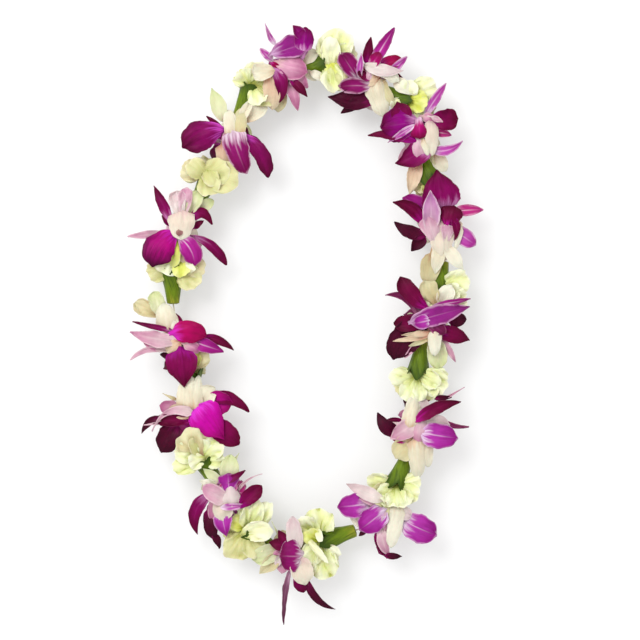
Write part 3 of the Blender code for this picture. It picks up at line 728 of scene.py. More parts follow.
class Route:
    """The string's closed line through the flowers' places, as one smooth curve."""

    def __init__(self, places: list[Plan]) -> None:
        """Lays the line through these places, clockwise."""
        self.places = [Vector((x, y, STRING_HEIGHT)) + SETTLED for x, y in places]

    def at(self, spot: float) -> Vector:
        """Finds a point on a Catmull-Rom curve.

        Args:
            spot: How many places along the point is.

        Returns:
            The point in millimetres.
        """
        whole, part = divmod(spot, 1.0)
        before, start, end, after = (self.places[(int(whole) + k) % len(self.places)] for k in (-1, 0, 1, 2))
        bend = 2 * before - 5 * start + 4 * end - after
        twist = 3 * start - before - 3 * end + after
        return start + 0.5 * ((end - before) * part + bend * part**2 + twist * part**3)

    def ahead(self, spot: float, distance: float) -> float:
        """Finds the spot that lies this far along the line.

        Args:
            spot: Where to start, in places along.
            distance: How far to go in millimetres, and backwards below nought.

        Returns:
            The spot reached, in places along.
        """
        step = math.copysign(ROUTE_STEP, distance)
        left = abs(distance)
        while left > 0:
            left -= (self.at(spot + step) - self.at(spot)).length
            spot += step
        return spot

    def attitude(self, spot: float, chord: float) -> Matrix:
        """Finds how a straight tube that ends at a spot stands.

        Args:
            spot: The tube's end, in places along.
            chord: The tube's length in millimetres.

        Returns:
            A matrix with its origin at the spot and its Z axis along the tube.
        """
        point = self.at(spot)
        heading = point - self.at(self.ahead(spot, -chord))
        return Matrix.LocRotScale(point, heading.to_track_quat("Z", "Y"), None)


# ---------------------------------------------------------------- shader maths


class Value:
    """A shader socket that Python's operators work on."""

    def __init__(self, graph: "Graph", socket: bpy.types.NodeSocket) -> None:
        """Keeps the socket and the graph that its maths is added to."""
        self.graph = graph
        self.socket = socket

    def maths(self, operation: str, *operands: "Value | float") -> "Value":
        """Adds one Math node.

        Args:
            operation: The node's operation.
            operands: Its inputs in order.

        Returns:
            The node's result.
        """
        node = self.graph.node("ShaderNodeMath", {"operation": operation}, dict(enumerate(operands)))
        return Value(self.graph, node.outputs[0])

    def __add__(self, other: "Value | float") -> "Value":
        """Adds."""
        return self.maths("ADD", self, other)

    __radd__ = __add__

    def __sub__(self, other: "Value | float") -> "Value":
        """Subtracts."""
        return self.maths("SUBTRACT", self, other)

    def __rsub__(self, other: float) -> "Value":
        """Subtracts from a number."""
        return self.maths("SUBTRACT", other, self)

    def __mul__(self, other: "Value | float") -> "Value":
        """Multiplies."""
        return self.maths("MULTIPLY", self, other)

    def __abs__(self) -> "Value":
        """Drops the sign."""
        return self.maths("ABSOLUTE", self)

    def smooth(self, low: float, high: float) -> "Value":
        """Rises smoothly from 0 at low to 1 at high, and falls where low is the larger."""
        sockets = {"Value": self, "From Min": min(low, high), "From Max": max(low, high)}
        node = self.graph.node("ShaderNodeMapRange", {"interpolation_type": "SMOOTHSTEP"}, sockets)
        result = Value(self.graph, node.outputs["Result"])
        return 1 - result if low > high else result


class Graph:
    """A new material's nodes."""

    def __init__(self, name: str) -> None:
        """Makes the material and finds its shader."""
        self.material = bpy.data.materials.new(name)
        self.material.use_nodes = True
        self.tree = self.material.node_tree
        self.shader = self.tree.nodes["Principled BSDF"].inputs

    def node(self, kind: str, settings: dict[str, Any], sockets: dict[Any, Any]) -> bpy.types.Node:
        """Adds a node.

        Args:
            kind: The node's type.
            settings: Its properties, which are set first.
            sockets: Its inputs, by name or number, as values or links.

        Returns:
            The node.
        """
        node = self.tree.nodes.new(kind)
        for key, setting in settings.items():
            setattr(node, key, setting)
        for key, value in sockets.items():
            self.feed(node.inputs[key], value)
        return node

    def feed(self, socket: bpy.types.NodeSocket, value: Any) -> None:
        """Links a wrapped socket to an input, or sets the input's value."""
        if isinstance(value, Value):
            self.tree.links.new(value.socket, socket)
        else:
            socket.default_value = value

    def carried(self, name: str, *outputs: str) -> Iterator[Value]:
        """Reads these outputs of a number or colour that the mesh carries."""
        node = self.node("ShaderNodeAttribute", {"attribute_name": name}, {})
        return (Value(self, node.outputs[output]) for output in outputs)

    def place(self) -> Value:
        """Reads where the surface is, in metres."""
        return Value(self, self.node("ShaderNodeTexCoord", {}, {}).outputs["Object"])

    def vector(self, x: Value, y: Value, z: Value) -> Value:
        """Joins three numbers."""
        return Value(self, self.node("ShaderNodeCombineXYZ", {}, {0: x, 1: y, 2: z}).outputs[0])

    def noise(self, vector: Value, scale: float, detail: float = 2.0) -> Value:
        """A cloudy pattern from 0 to 1."""
        sockets = {"Vector": vector, "Scale": scale, "Detail": detail}
        return Value(self, self.node("ShaderNodeTexNoise", {}, sockets).outputs[0])

    def mix(self, share: Value | float, first: Any, second: Any, kind: str = "MIX") -> Value:
        """Mixes two colours.

        Args:
            share: How much of the second colour shows.
            first: The colour below.
            second: The colour above.
            kind: The node's blend type.

        Returns:
            The mixed colour.
        """
        settings = {"data_type": "RGBA", "blend_type": kind, "clamp_factor": True}
        return Value(self, self.node("ShaderNodeMix", settings, {0: share, 6: first, 7: second}).outputs[2])

    def finish(self, shader: dict[str, Any], height: Value | None = None, depth: float = 0) -> Material:
        """Feeds the shader.

        Args:
            shader: The shader's inputs by name.
            height: The bump's height from 0 to 1, if there is one.
            depth: How high 1 is, in millimetres.

        Returns:
            The material.
        """
        for key, value in shader.items():
            self.feed(self.shader[key], value)
        if height is not None:
            sockets = {"Height": height, "Distance": depth * MM, "Strength": 1.0}
            bump = self.node("ShaderNodeBump", {}, sockets)
            self.feed(self.shader["Normal"], Value(self, bump.outputs[0]))
        return self.material


# ---------------------------------------------------------------- finishes

# What a skin reads at each point of a petal, and how far apart the patterns of two petals lie.
NUMBERS = ("along", "across", "margin", "seed")
TINTS = ("tint_base", "tint_body", "tint_tip", "tint_rim")
SEED_STEP = 60
FULL_LIGHT = (1.0, 1.0, 1.0, 1.0)


@dataclass(frozen=True)
class PetalSkin:
    """The living skin of petals and calyxes, whose colours come from each petal's own tone.

    Streaks and veins are noise: how many clouds lie in a millimetre across the petal and along all of it, and
    how far apart two petals' patterns are. A warp is how far they push the colours along the petal. A band is
    where a colour starts and where it is full. The relief is how high streaks, veins, midrib and grain are.
    """

    name: str
    roughness: float
    gloss: float
    vein_shows: float
    edge_shows: float
    mottle: float
    vein_height: float
    glow: float
    streaks: Point = (0.42, 1.5, 13)
    veins: Point = (1.9, 2.6, 17)
    streak_warp: float = 0.8
    vein_warp: float = 0.22
    vein_band: Plan = (0.52, 0.66)
    body_band: Plan = (-0.05, 0.34)
    tip_band: Plan = (0.32, 1.2)
    tip_shows: float = 0.95
    edge_band: Plan = (7.0, -1.0)
    edge_ragged: float = 7.0
    edge_start: Plan = (0.1, 0.6)
    rib_band: Plan = (0.9, 0.1)
    rib_end: Plan = (1.0, 0.3)
    rim_reach: Plan = (0.3, 2.6)
    rim_band: Plan = (0.0, 1.6)
    rim_ragged: float = 3.6
    cloud_band: Plan = (0.3, 0.55)
    cloud_scale: float = 130.0
    fine_mottle: float = 0.6
    uneven_gloss: float = 0.2
    grain_scale: float = 1400.0
    relief: tuple[float, ...] = (0.6, 0.4, 0.8, 0.25)

    def material(self) -> Material:
        """Makes streaks, veins, a midrib and a rim that follow each petal."""
        graph = Graph(self.name)
        along, across, margin, seed = (value for key in NUMBERS for value in graph.carried(key, "Fac"))
        tints = [graph.carried(key, "Color", "Alpha") for key in TINTS]
        (base, rib_shows), (body, _), (tip, _), (rim, rim_shows) = tints
        streak, vein_cloud = (
            graph.noise(graph.vector(across * wide + seed * SEED_STEP, along * far, seed * shift), 1.0, 3.0)
            for wide, far, shift in (self.streaks, self.veins)
        )
        warped = along + (streak - 0.5) * self.streak_warp + (vein_cloud - 0.5) * self.vein_warp
        vein = vein_cloud.smooth(*self.vein_band)
        colour = graph.mix(warped.smooth(*self.body_band), base, body)
        colour = graph.mix(warped.smooth(*self.tip_band) * self.tip_shows, colour, tip)
        outer = (margin + (streak - 0.5) * self.edge_ragged).smooth(*self.edge_band)
        colour = graph.mix(outer * along.smooth(*self.edge_start) * self.edge_shows, colour, tip)
        colour = graph.mix(vein * self.vein_shows, colour, tip)
        rib = abs(across).smooth(*self.rib_band) * along.smooth(*self.rib_end) * rib_shows
        colour = graph.mix(rib, colour, rim)
        least, more = self.rim_reach
        cloud = graph.noise(graph.place(), self.cloud_scale)
        edge = rim_shows * more + least - margin + (streak - 0.5) * self.rim_ragged
        edge = edge.smooth(*self.rim_band) * rim_shows
        colour = graph.mix(edge * cloud.smooth(*self.cloud_band), colour, rim)
        shade = (cloud - 0.5) * self.mottle + (vein_cloud - 0.5) * self.mottle * self.fine_mottle + 1.0
        colour = graph.mix(1.0, colour, shade, "MULTIPLY")
        grain = graph.noise(graph.place(), self.grain_scale)
        streaks_up, veins_down, rib_down, grain_up = self.relief
        height = streak * streaks_up - vein * veins_down - rib * rib_down + grain * grain_up
        shader = {
            "Base Color": colour,
            "Roughness": self.roughness + (streak - 0.5) * self.uneven_gloss,
            "Specular IOR Level": self.gloss,
            "Subsurface Weight": self.glow,
            "Subsurface Radius": (1.0, 0.5, 0.6),
            "Subsurface Scale": 0.003,
        }
        return graph.finish(shader, height, self.vein_height)


@dataclass(frozen=True)
class ThreadSkin:
    """Off-white cotton thread, with its twist and loose fibres."""

    name: str
    light: Colour
    dark: Colour
    fibre_scale: float = 2200.0
    soil_scale: float = 60.0
    light_band: Plan = (0.35, 0.8)
    roughness: float = 0.75
    uneven_gloss: float = 0.3
    fibre_height: float = 0.25

    def material(self) -> Material:
        """Makes fibres that show as fine light and dark lines."""
        graph = Graph(self.name)
        fibre = graph.noise(graph.place(), self.fibre_scale, 4.0)
        soil = graph.noise(graph.place(), self.soil_scale)
        share = (fibre * 0.7 + soil * 0.5).smooth(*self.light_band)
        colour = graph.mix(share, (*linear(self.dark), 1), (*linear(self.light), 1))
        shader = {"Base Color": colour, "Roughness": self.roughness + (fibre - 0.5) * self.uneven_gloss}
        return graph.finish(shader, fibre, self.fibre_height)


@dataclass(frozen=True)
class FloorSkin:
    """A smooth matt white surface."""

    name: str
    light: Colour
    cloud_scale: float = 3.0
    mottle: float = 0.01
    roughness: float = 0.6
    glow: float = 0.40

    def material(self) -> Material:
        """Makes a nearly even white, with a little light of its own to lift the shadows."""
        graph = Graph(self.name)
        shade = (graph.noise(graph.place(), self.cloud_scale) - 0.5) * self.mottle + 1.0
        colour = graph.mix(1.0, (*linear(self.light), 1), shade, "MULTIPLY")
        shader = {"Base Color": colour, "Roughness": self.roughness}
        return graph.finish({**shader, "Emission Color": FULL_LIGHT, "Emission Strength": self.glow})


# ---------------------------------------------------------------- flowers as meshes

# What the seed of a petal takes from its cluster, its kind of flower and its own number.
CLUSTER_STEP, KIND_STEP, PETAL_STEP = 0.618, 0.347, 0.2718
SHARP_ANGLE = math.radians(60)


@dataclass(frozen=True)
class Make:
    """What one kind of flower piece is called and made of, and how far its tones are darkened."""

    number: int
    stem: str
    slot: str
    depth: float
    skin: PetalSkin


class Kind(Enum):
    """The kinds of piece that grew on the lei."""

    PURPLE = Make(
        number=0,
        stem="purple_orchid",
        slot="orchid_purple",
        depth=0.72,
        skin=PetalSkin(
            name="purple_orchid_skin",
            roughness=0.4,
            gloss=0.06,
            vein_shows=0.25,
            edge_shows=0.7,
            mottle=0.5,
            vein_height=0.3,
            glow=0.06,
        ),
    )
    CREAM = Make(
        number=1,
        stem="cream_orchid",
        slot="orchid_cream",
        depth=0.74,
        skin=PetalSkin(
            name="cream_orchid_skin",
            roughness=0.42,
            gloss=0.3,
            vein_shows=0.3,
            edge_shows=0.3,
            mottle=0.24,
            vein_height=0.4,
            glow=0.15,
        ),
    )
    HEAD = Make(
        number=3,
        stem="carnation_petals",
        slot="carnation_petal",
        depth=0.82,
        skin=PetalSkin(
            name="carnation_petal_skin",
            roughness=0.5,
            gloss=0.25,
            vein_shows=0.2,
            edge_shows=0.5,
            mottle=0.2,
            vein_height=0.3,
            glow=0.15,
        ),
    )
    CALYX = Make(
        number=2,
        stem="carnation_calyx",
        slot="calyx_green",
        depth=0.72,
        skin=PetalSkin(
            name="calyx_skin",
            roughness=0.4,
            gloss=0.12,
            vein_shows=0.7,
            edge_shows=0.9,
            mottle=0.4,
            vein_height=0.25,
            glow=0.03,
        ),
    )


def shown(name: str, data: bpy.types.ID) -> bpy.types.Object:
    """Puts a mesh, lamp or camera into the scene."""
    made = bpy.data.objects.new(name, data)
    bpy.context.scene.collection.objects.link(made)
    return made


class Flower:
    """The mesh of one flower piece while it is made, in millimetres, with what its skin reads."""

    def __init__(self, kind: Kind, k: int) -> None:
        """Starts an empty mesh for the cluster with this number from 0."""
        self.make = kind.value
        self.k = k
        self.shape = bmesh.new()
        layers = self.shape.verts.layers
        self.numbers = [layers.float.new(key) for key in NUMBERS]
        self.tints = [layers.float_color.new(key) for key in TINTS]

    def seed(self, number: int) -> float:
        """A number from 0 to 1 that is one petal's own."""
        return (self.k * CLUSTER_STEP + self.make.number * KIND_STEP + number * PETAL_STEP) % 1

    def paint(self, vert: Vert, numbers: Sequence[float], tone: Tone, back: bool = False) -> None:
        """Writes what the skin reads at one point.

        Args:
            vert: The point.
            numbers: Its share along, its distance across, its margin and its petal's seed.
            tone: Its petal's colours.
            back: Whether it is on the petal's underside.
        """
        for layer, number in zip(self.numbers, numbers):
            vert[layer] = number
        inner = (tone.back,) * 3 if back else (tone.base, tone.body, tone.tip)
        shares = (tone.rib_shows, 1.0, 1.0, tone.rim_shows)
        for layer, colour, share in zip(self.tints, (*inner, tone.rim), shares):
            vert[layer] = (*linear(colour, self.make.depth), share)

    def add(self, blades: Iterable[Blade], place: Vector, hub: Vector, first: int = 0) -> None:
        """Grows petals.

        Args:
            blades: What they are like.
            place: Where their ends are measured from.
            hub: Where their claws grow.
            first: The number of the first of them.
        """
        for number, blade in enumerate(blades, first):
            Petal(blade, place, hub, self.seed(number)).grow(self)

    def finished(self, skin: Material) -> None:
        """Turns the mesh into the piece that stands for a flower of the frame, in this skin."""
        node = f"{self.make.stem}_{self.k + 1:02d}"
        self.shape.transform(Matrix.Scale(MM, 4))
        mesh = bpy.data.meshes.new(f"fresh_{node}")
        self.shape.to_mesh(mesh)
        self.shape.free()
        mesh.shade_smooth()
        mesh.set_sharp_from_angle(angle=SHARP_ANGLE)
        mesh.materials.append(skin)
        piece = shown(f"fresh_{node}", mesh)
        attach(piece, "root")
        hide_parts(node)
        LOG.info("%s: %d faces", piece.name, len(mesh.polygons))


# ---------------------------------------------------------------- petals


@dataclass(frozen=True)
class Ripple:
    """Waves of one size on a petal: their spacing in two directions, their height and their own number."""

    first: float
    second: float
    height: float
    number: float = 0.0

    def at(self, first: float, second: float, rest: float) -> float:
        """The waves' height at this place of the petal that has this number."""
        return self.height * noise.noise((first / self.first, second / self.second, rest + self.number))


# The folds of a fan, across it and along it.
BROAD_FOLD, FINE_FOLD = Ripple(5.0, 15, 2.6), Ripple(2.4, 8, 1.7, 5)
# The waves of the other petals, and how late across the petal the first of them grow.
EDGE_WAVE, SAG, GROOVE = Ripple(6, 0.625, 2.4), Ripple(13, 10, 2.2, 7), Ripple(1.9, 22, 0.55, 3)
EDGE_GROWS = 1.6
# The unevenness of a petal's width, as a share of it.
WIDE_BULGE, SMALL_BULGE = Ripple(7, 1 / 3, 0.13), Ripple(2.6, 1 / 3, 0.07, 9)
# How far the cup of either side changes, and how far a fan's edge is torn.
CUP_CHANGE, TEAR = Ripple(1 / 1.7, 1, 0.4), Ripple(0.3125, 1, 0.10, 1)
# How far apart the waves, cups, tears and teeth of two petals are.
WAVE_SHIFT, CUP_SHIFT, TEAR_SHIFT, TOOTH_SHIFT = 90, 70, 50, 7

# The thickness of a petal, the least height of its underside, and half its least width.
SKIN_THICKNESS, FLOOR_GAP, NARROWEST = 0.5, 0.6, 0.4
# A claw is a stalk this thick, which narrows this fast and leaves its petal this straight.
CLAW_RADIUS, CLAW_NARROWS, CLAW_REACH = 1.3, 1.2, 0.4
# How close a petal's points lie, and how few and many rows and columns they make.
ROW_GAP, COLUMN_GAP = 1.5, 1.35
FEWEST_ROWS, FEWEST_COLUMNS = 10, 6
MOST_ROWS, MOST_COLUMNS = 30, 22
CLAW_ROWS = 5
# A fan has this many times more columns, and the rows of the other petals lie closer at their tips.
FAN_FINER, TIP_CLOSER = 1.35, 1.6
# The point that a petal ends in.
CUSP_RADIUS, CUSP_SHARE, CUSP_STARTS = 2.4, 0.06, 0.7
# The crease along a petal's middle.
CREASE_WIDTH, CREASE_DEPTH = 0.16, 0.4
# A cup is level at about this share of the width, and makes the petal narrower.
CUP_LEVEL, CUP_NARROWS = 0.35, 0.22
# A carnation's fan: how far it opens, how flat its front is, its saw teeth, how its folds grow, and how far
# the folds' height moves its colours, as painted shade in the valleys and painted light on the ridges.
FAN_ANGLE = math.radians(108)
FAN_FLAT = 0.52
TOOTH_SPACING, TOOTH_HEIGHT, TOOTH_STARTS = 3, 1.2, 6
FOLD_GROWS, FOLD_PAINTED_SHADE = 1.1, 0.2


class Petal:
    """One blade laid out in space."""

    def __init__(self, blade: Blade, place: Vector, hub: Vector, seed: float) -> None:
        """Finds the blade's centreline.

        Args:
            blade: What the petal is like.
            place: Where its ends are measured from.
            hub: Where its claw grows.
            seed: A number from 0 to 1 that is its own.
        """
        self.blade = blade
        self.hub = hub
        self.seed = seed
        self.base = place + Vector(blade.base)
        self.tip = place + Vector(blade.tip)
        chord = self.tip - self.base
        self.length = chord.length
        left = Vector((-chord.y, chord.x, 0)).normalized()
        bend = left * blade.bow + UP * blade.arch
        self.control = (self.base + self.tip) / 2 + bend * 2 * self.length
        reach = (self.base - hub).length
        self.claw_control = self.base + (self.base - self.control).normalized() * reach * CLAW_REACH
        self.has_claw = reach > 2 * CLAW_RADIUS

    def centre(self, along: float) -> tuple[Vector, Vector]:
        """Follows the centreline.

        Args:
            along: The share of the blade's length, and from 0 to -1 down the claw.

        Returns:
            The point and the heading.
        """
        down = along < 0
        start, share = self.base, abs(along)
        control, end = (self.claw_control, self.hub) if down else (self.control, self.tip)
        point = start * (1 - share) ** 2 + control * 2 * share * (1 - share) + end * share**2
        heading = (control - start) * (1 - share) + (end - control) * share
        return point, (-heading if down else heading).normalized()

    def half_width(self, along: float, side: float) -> float:
        """Half the width at a share of the length, a little uneven, on one side."""
        outline = self.blade.form.value
        full = self.blade.width / 2
        if along < 0:
            foot = full * outline.share(0)
            return foot + (CLAW_RADIUS - foot) * min(1, -along * CLAW_NARROWS)
        up, rest = along * self.length, self.seed * WAVE_SHIFT
        uneven = 1 + WIDE_BULGE.at(up, side, rest) + SMALL_BULGE.at(up, side, rest)
        return max(NARROWEST, full * outline.share(along) * uneven)

    def wave(self, along: float, across: float) -> float:
        """How far the surface stands off the plain cupped blade, in millimetres."""
        blade = self.blade
        side, up, rest = across * blade.width / 2, along * self.length, self.seed * WAVE_SHIFT
        if blade.fan:
            folds = BROAD_FOLD.at(side, up, rest) + FINE_FOLD.at(side, up, rest)
            return blade.ruffle * max(0, along) ** FOLD_GROWS * folds
        edge = EDGE_WAVE.at(up, across, rest) * blade.ruffle * abs(across) ** EDGE_GROWS
        crease = math.exp(-((across / CREASE_WIDTH) ** 2)) * CREASE_DEPTH * (1 - max(0, along))
        uneven = SAG.at(up, side, rest) + GROOVE.at(side, up, rest)
        return edge + uneven - crease * math.copysign(1, blade.cup)

    def reach(self, along: float, across: float) -> float:
        """Where along the centreline a point lies: a fan is round and toothed, and others end in a cusp."""
        if along < 0:
            return along
        if not self.blade.fan:
            off = across * self.half_width(along, math.copysign(1, across)) / CUSP_RADIUS
            return along + CUSP_SHARE * math.exp(-(off**2)) * max(0, along - CUSP_STARTS) / (1 - CUSP_STARTS)
        teeth = abs((across * self.blade.width / TOOTH_SPACING + self.seed * TOOTH_SHIFT) % 1 - 0.5) * 2
        jagged = TEAR.at(across, self.seed * TEAR_SHIFT, 0) + TOOTH_HEIGHT * teeth / self.length
        front = FAN_FLAT + (1 - FAN_FLAT) * math.cos(across * FAN_ANGLE)
        return along * front + jagged * along**TOOTH_STARTS

    def spread(self, along: float, across: float, half: float) -> float:
        """How far to the left of its centreline a point lies, in millimetres, at this half width."""
        if self.blade.fan and along > 0:
            return half * (across * (1 - along) + math.sin(across * FAN_ANGLE) * along)
        return half * across * (1 - CUP_NARROWS * abs(self.blade.cup) * across**2)

    def point(self, along: float, across: float) -> Vector:
        """Finds a point of the petal's middle surface.

        Args:
            along: The share of its length, and from 0 to -1 down the claw.
            across: The share of half its width, from -1 on its right to 1 on its left.

        Returns:
            The point in millimetres.
        """
        blade = self.blade
        reach = self.reach(along, across)
        middle, heading = self.centre(reach)
        half = self.half_width(along, math.copysign(1, across))
        level = Vector((-heading.y, heading.x, 0)).normalized()
        above = heading.cross(level)
        roll = math.radians(blade.roll + blade.twist * max(0, along))
        side = level * math.cos(roll) + above * math.sin(roll)
        face = above * math.cos(roll) - level * math.sin(roll)
        strength = min(1, 1 + along)
        cup = blade.cup + CUP_CHANGE.at(reach, math.copysign(2, across), self.seed * CUP_SHIFT) * strength
        lift = cup * (across**2 - CUP_LEVEL) * half + self.wave(along, across) * strength
        point = middle + side * self.spread(along, across, half) + face * lift
        point.z += blade.curl * self.length * max(0, along) ** 3
        point.z = max(point.z, FLOOR_GAP)
        return point

    def margin(self, along: float, across: float) -> float:
        """How far a point is from the petal's edge, in millimetres."""
        end = (1 - along) * self.length
        return end if self.blade.fan else min(end, (1 - abs(across)) * self.half_width(along, 1))

    def grow(self, flower: Flower) -> None:
        """Adds the petal to a flower: a grid that is bent to shape and given a second skin."""
        blade = self.blade
        rows = min(MOST_ROWS, max(FEWEST_ROWS, round(self.length / ROW_GAP)))
        finer = FAN_FINER if blade.fan else 1.0
        columns = min(MOST_COLUMNS, max(FEWEST_COLUMNS, 2 * round(blade.width * finer / COLUMN_GAP / 2)))
        claw = CLAW_ROWS if self.has_claw else 0
        share = claw / (rows + claw)
        closer = 1 if blade.fan else TIP_CLOSER
        grid = {"x_segments": columns, "y_segments": rows + claw, "size": 1.0}
        made = bmesh.ops.create_grid(flower.shape, **grid)["verts"]
        notes = {}
        for vert in made:
            across, up = -vert.co.x, (vert.co.y + 1) / 2
            if up < share - 1e-6:
                along = (up - share) / share
            else:
                along = 1 - (1 - (up - share) / (1 - share)) ** closer
            vert.co = self.point(along, across)
            # On a fan, the folds' height moves the colours along it: painted shade darkens the valleys and
            # painted light brightens the ridges.
            shade = self.wave(along, across) * FOLD_PAINTED_SHADE if blade.fan else 0.0
            notes[vert] = (along + shade, across * blade.width / 2, self.margin(along, across), self.seed)
            flower.paint(vert, notes[vert], blade.tone)
        thicken(flower.shape, made, SKIN_THICKNESS)
        for vert in made:
            flower.paint(vert, notes[vert], blade.tone, back=True)


def faces_of(verts: Iterable[Vert]) -> list[bmesh.types.BMFace]:
    """The faces at these points, each once and always in the same order."""
    return list(dict.fromkeys(face for vert in verts for face in vert.link_faces))


def thicken(shape: bmesh.types.BMesh, sheet: list[Vert], wall: float) -> None:
    """Closes a sheet into a shell: a copy is raised from it by the wall, and the sheet becomes its underside.

    Args:
        shape: The mesh that holds the sheet.
        sheet: The sheet's points.
        wall: How thick the shell is.
    """
    raised = bmesh.ops.extrude_face_region(shape, geom=faces_of(sheet), use_keep_orig=True)["geom"]
    shape.normal_update()
    for vert in raised:
        if isinstance(vert, Vert):
            vert.co += vert.normal * wall


# ---------------------------------------------------------------- turned parts


def spun(shape: bmesh.types.BMesh, outline: Sequence[Plan], sides: int, closed: bool) -> list[Vert]:
    """Spins an outline of (radius, height) points round Z.

    Args:
        shape: The mesh that takes it.
        outline: The points, up the outer side.
        sides: How many steps a turn has.
        closed: Whether the last point joins the first.

    Returns:
        The new points.
    """
    before = set(shape.verts)
    points = [shape.verts.new((radius, 0.0, height)) for radius, height in outline]
    pairs = list(zip(points, points[1:])) + ([(points[-1], points[0])] if closed else [])
    turned = points + [shape.edges.new(pair) for pair in pairs]
    whole = {"cent": (0, 0, 0), "axis": UP, "angle": math.tau, "use_merge": True}
    bmesh.ops.spin(shape, geom=turned, steps=sides, **whole)
    made = [vert for vert in shape.verts if vert not in before]
    if closed:
        bmesh.ops.recalc_face_normals(shape, faces=faces_of(made))
    return made


@dataclass(frozen=True)
class Throat:
    """The short thick tube at an orchid's middle, which the string goes through.

    Its profile is its outer side, as shares of its radius and of half its length.
    """

    bore: float = 1.2
    radius: float = 3.4
    length: float = 9.0
    sides: int = 28
    profile: tuple[Plan, ...] = ((0.7, -1.0), (1.0, -0.6), (0.9, 0.0), (1.0, 0.6), (0.75, 1.0))
    margin: float = 2.0

    def grow(self, flower: Flower, stand: Matrix, tone: Tone) -> None:
        """Spins the tube's outline round the string.

        Args:
            flower: The flower that it belongs to.
            stand: Its middle, with Z along the string.
            tone: Its colours.
        """
        end = self.length / 2
        side = ((self.radius * wide, end * high) for wide, high in self.profile)
        outline = ((self.bore, -end), *side, (self.bore, end))
        for vert in spun(flower.shape, outline, self.sides, closed=True):
            angle = math.atan2(vert.co.y, vert.co.x)
            share = vert.co.z / self.length + 0.5
            flower.paint(vert, (share, angle * self.radius, self.margin, flower.seed(0)), tone)
            vert.co = stand @ vert.co


@dataclass(frozen=True)
class Calyx:
    """The green tube that holds a carnation's petals, with five teeth round its mouth.

    Its foot is its cut end, as radii and heights. Its swell is how late it widens, its ribs and dents are
    shares of its radius, and its teeth begin at the share `pulled` of its length.
    """

    length: float
    tooth_length: float
    foot: tuple[Plan, ...] = ((1.6, 0.5), (3.2, 0.0), (5.3, 0.7))
    foot_radius: float = 5.6
    foot_height: float = 1.6
    mouth_radius: float = 10.2
    swell: float = 1.35
    steps: int = 14
    sides: int = 60
    wall: float = 0.7
    ribs: float = 0.018
    dents: Ripple = Ripple(1 / 1.3, 1 / 1.3, 0.05)
    dent_length: float = 9.0
    dent_shift: float = 30.0
    teeth: int = 5
    pulled: float = 0.5
    tooth_round: float = 0.7
    tooth_back: float = 0.45
    tooth_flare: float = 0.028
    tooth_margin: Plan = (8, 2)

    def outline(self) -> tuple[Plan, ...]:
        """The tube's outer side, from its cut foot to its mouth."""
        base = -self.length
        cut = ((radius, base + height) for radius, height in self.foot)
        rise = [(k + 1) / self.steps for k in range(self.steps)]
        swell = (self.foot_radius + (self.mouth_radius - self.foot_radius) * t**self.swell for t in rise)
        heights = (base + self.foot_height + (self.length - self.foot_height) * t for t in rise)
        return (*cut, *zip(swell, heights))

    def grow(self, flower: Flower, stand: Matrix) -> None:
        """Spins the tube, pulls its teeth out and gives it a wall.

        Args:
            flower: The mesh that it is made in.
            stand: Its mouth, with Z along the string.
        """
        seed = flower.seed(0)
        made = spun(flower.shape, self.outline(), self.sides, closed=False)
        notes = {}
        for vert in made:
            radius, angle = math.hypot(vert.co.x, vert.co.y), math.atan2(vert.co.y, vert.co.x)
            share = 1 + vert.co.z / self.length
            turn = (angle / math.tau * self.teeth + seed) % 1
            tooth = (1 - abs(turn * 2 - 1)) ** self.tooth_round
            pull = max(0, share - self.pulled) / (1 - self.pulled)
            rest = vert.co.z / self.dent_length + seed * self.dent_shift
            dent = self.dents.at(math.cos(angle), math.sin(angle), rest)
            rib = self.ribs * math.cos(angle * 2 * self.teeth)
            flared = self.tooth_flare * self.tooth_length * pull**3 * tooth
            vert.co.z += pull**1.5 * (tooth - self.tooth_back) * self.tooth_length
            vert.co.xy *= 1 + rib + dent + flared
            below, above = self.tooth_margin
            margin = (1 - share) * self.length + below * tooth * (1 - pull) + above * tooth
            notes[vert] = (share, angle * radius, margin, seed)
        for vert in made:
            flower.paint(vert, notes[vert], CALYX_GREEN)
            vert.co = stand @ vert.co
        thicken(flower.shape, made, self.wall)


# ---------------------------------------------------------------- petals that lie below


@dataclass(frozen=True)
class Underside:
    """The petals that an orchid rests on, measured from its throat."""

    count: int = 5
    kinds: tuple[tuple[Form, float], ...] = ((Form.ROUND, 17), (Form.SEPAL, 12))
    claw: float = 3.0
    reach: float = 17.0
    uneven: Plan = (4.0, 7.0)
    over_floor: Plan = (2.0, 5.0)
    arch: float = 0.2
    cup: float = 0.2

    def petals(self, turn: float, tones: list[Tone]) -> Iterator[Blade]:
        """Spreads them round the string.

        Args:
            turn: Where they start, as a share of a whole turn.
            tones: The tones to choose from.

        Yields:
            Petals that bend down to the floor.
        """
        for number in range(self.count):
            angle = math.tau * (number / self.count + turn)
            more, waves = self.uneven
            plan = Vector((math.cos(angle), math.sin(angle), 0))
            form, width = self.kinds[number % 2]
            base = (plan - UP) * self.claw
            tip = plan * (self.reach + more * math.sin(waves * angle))
            tip.z = self.over_floor[number % 2] - STRING_HEIGHT - SETTLED.z
            tone = tones[number % len(tones)]
            yield Blade(form, tone, tuple(base), tuple(tip), width, arch=self.arch, cup=self.cup)


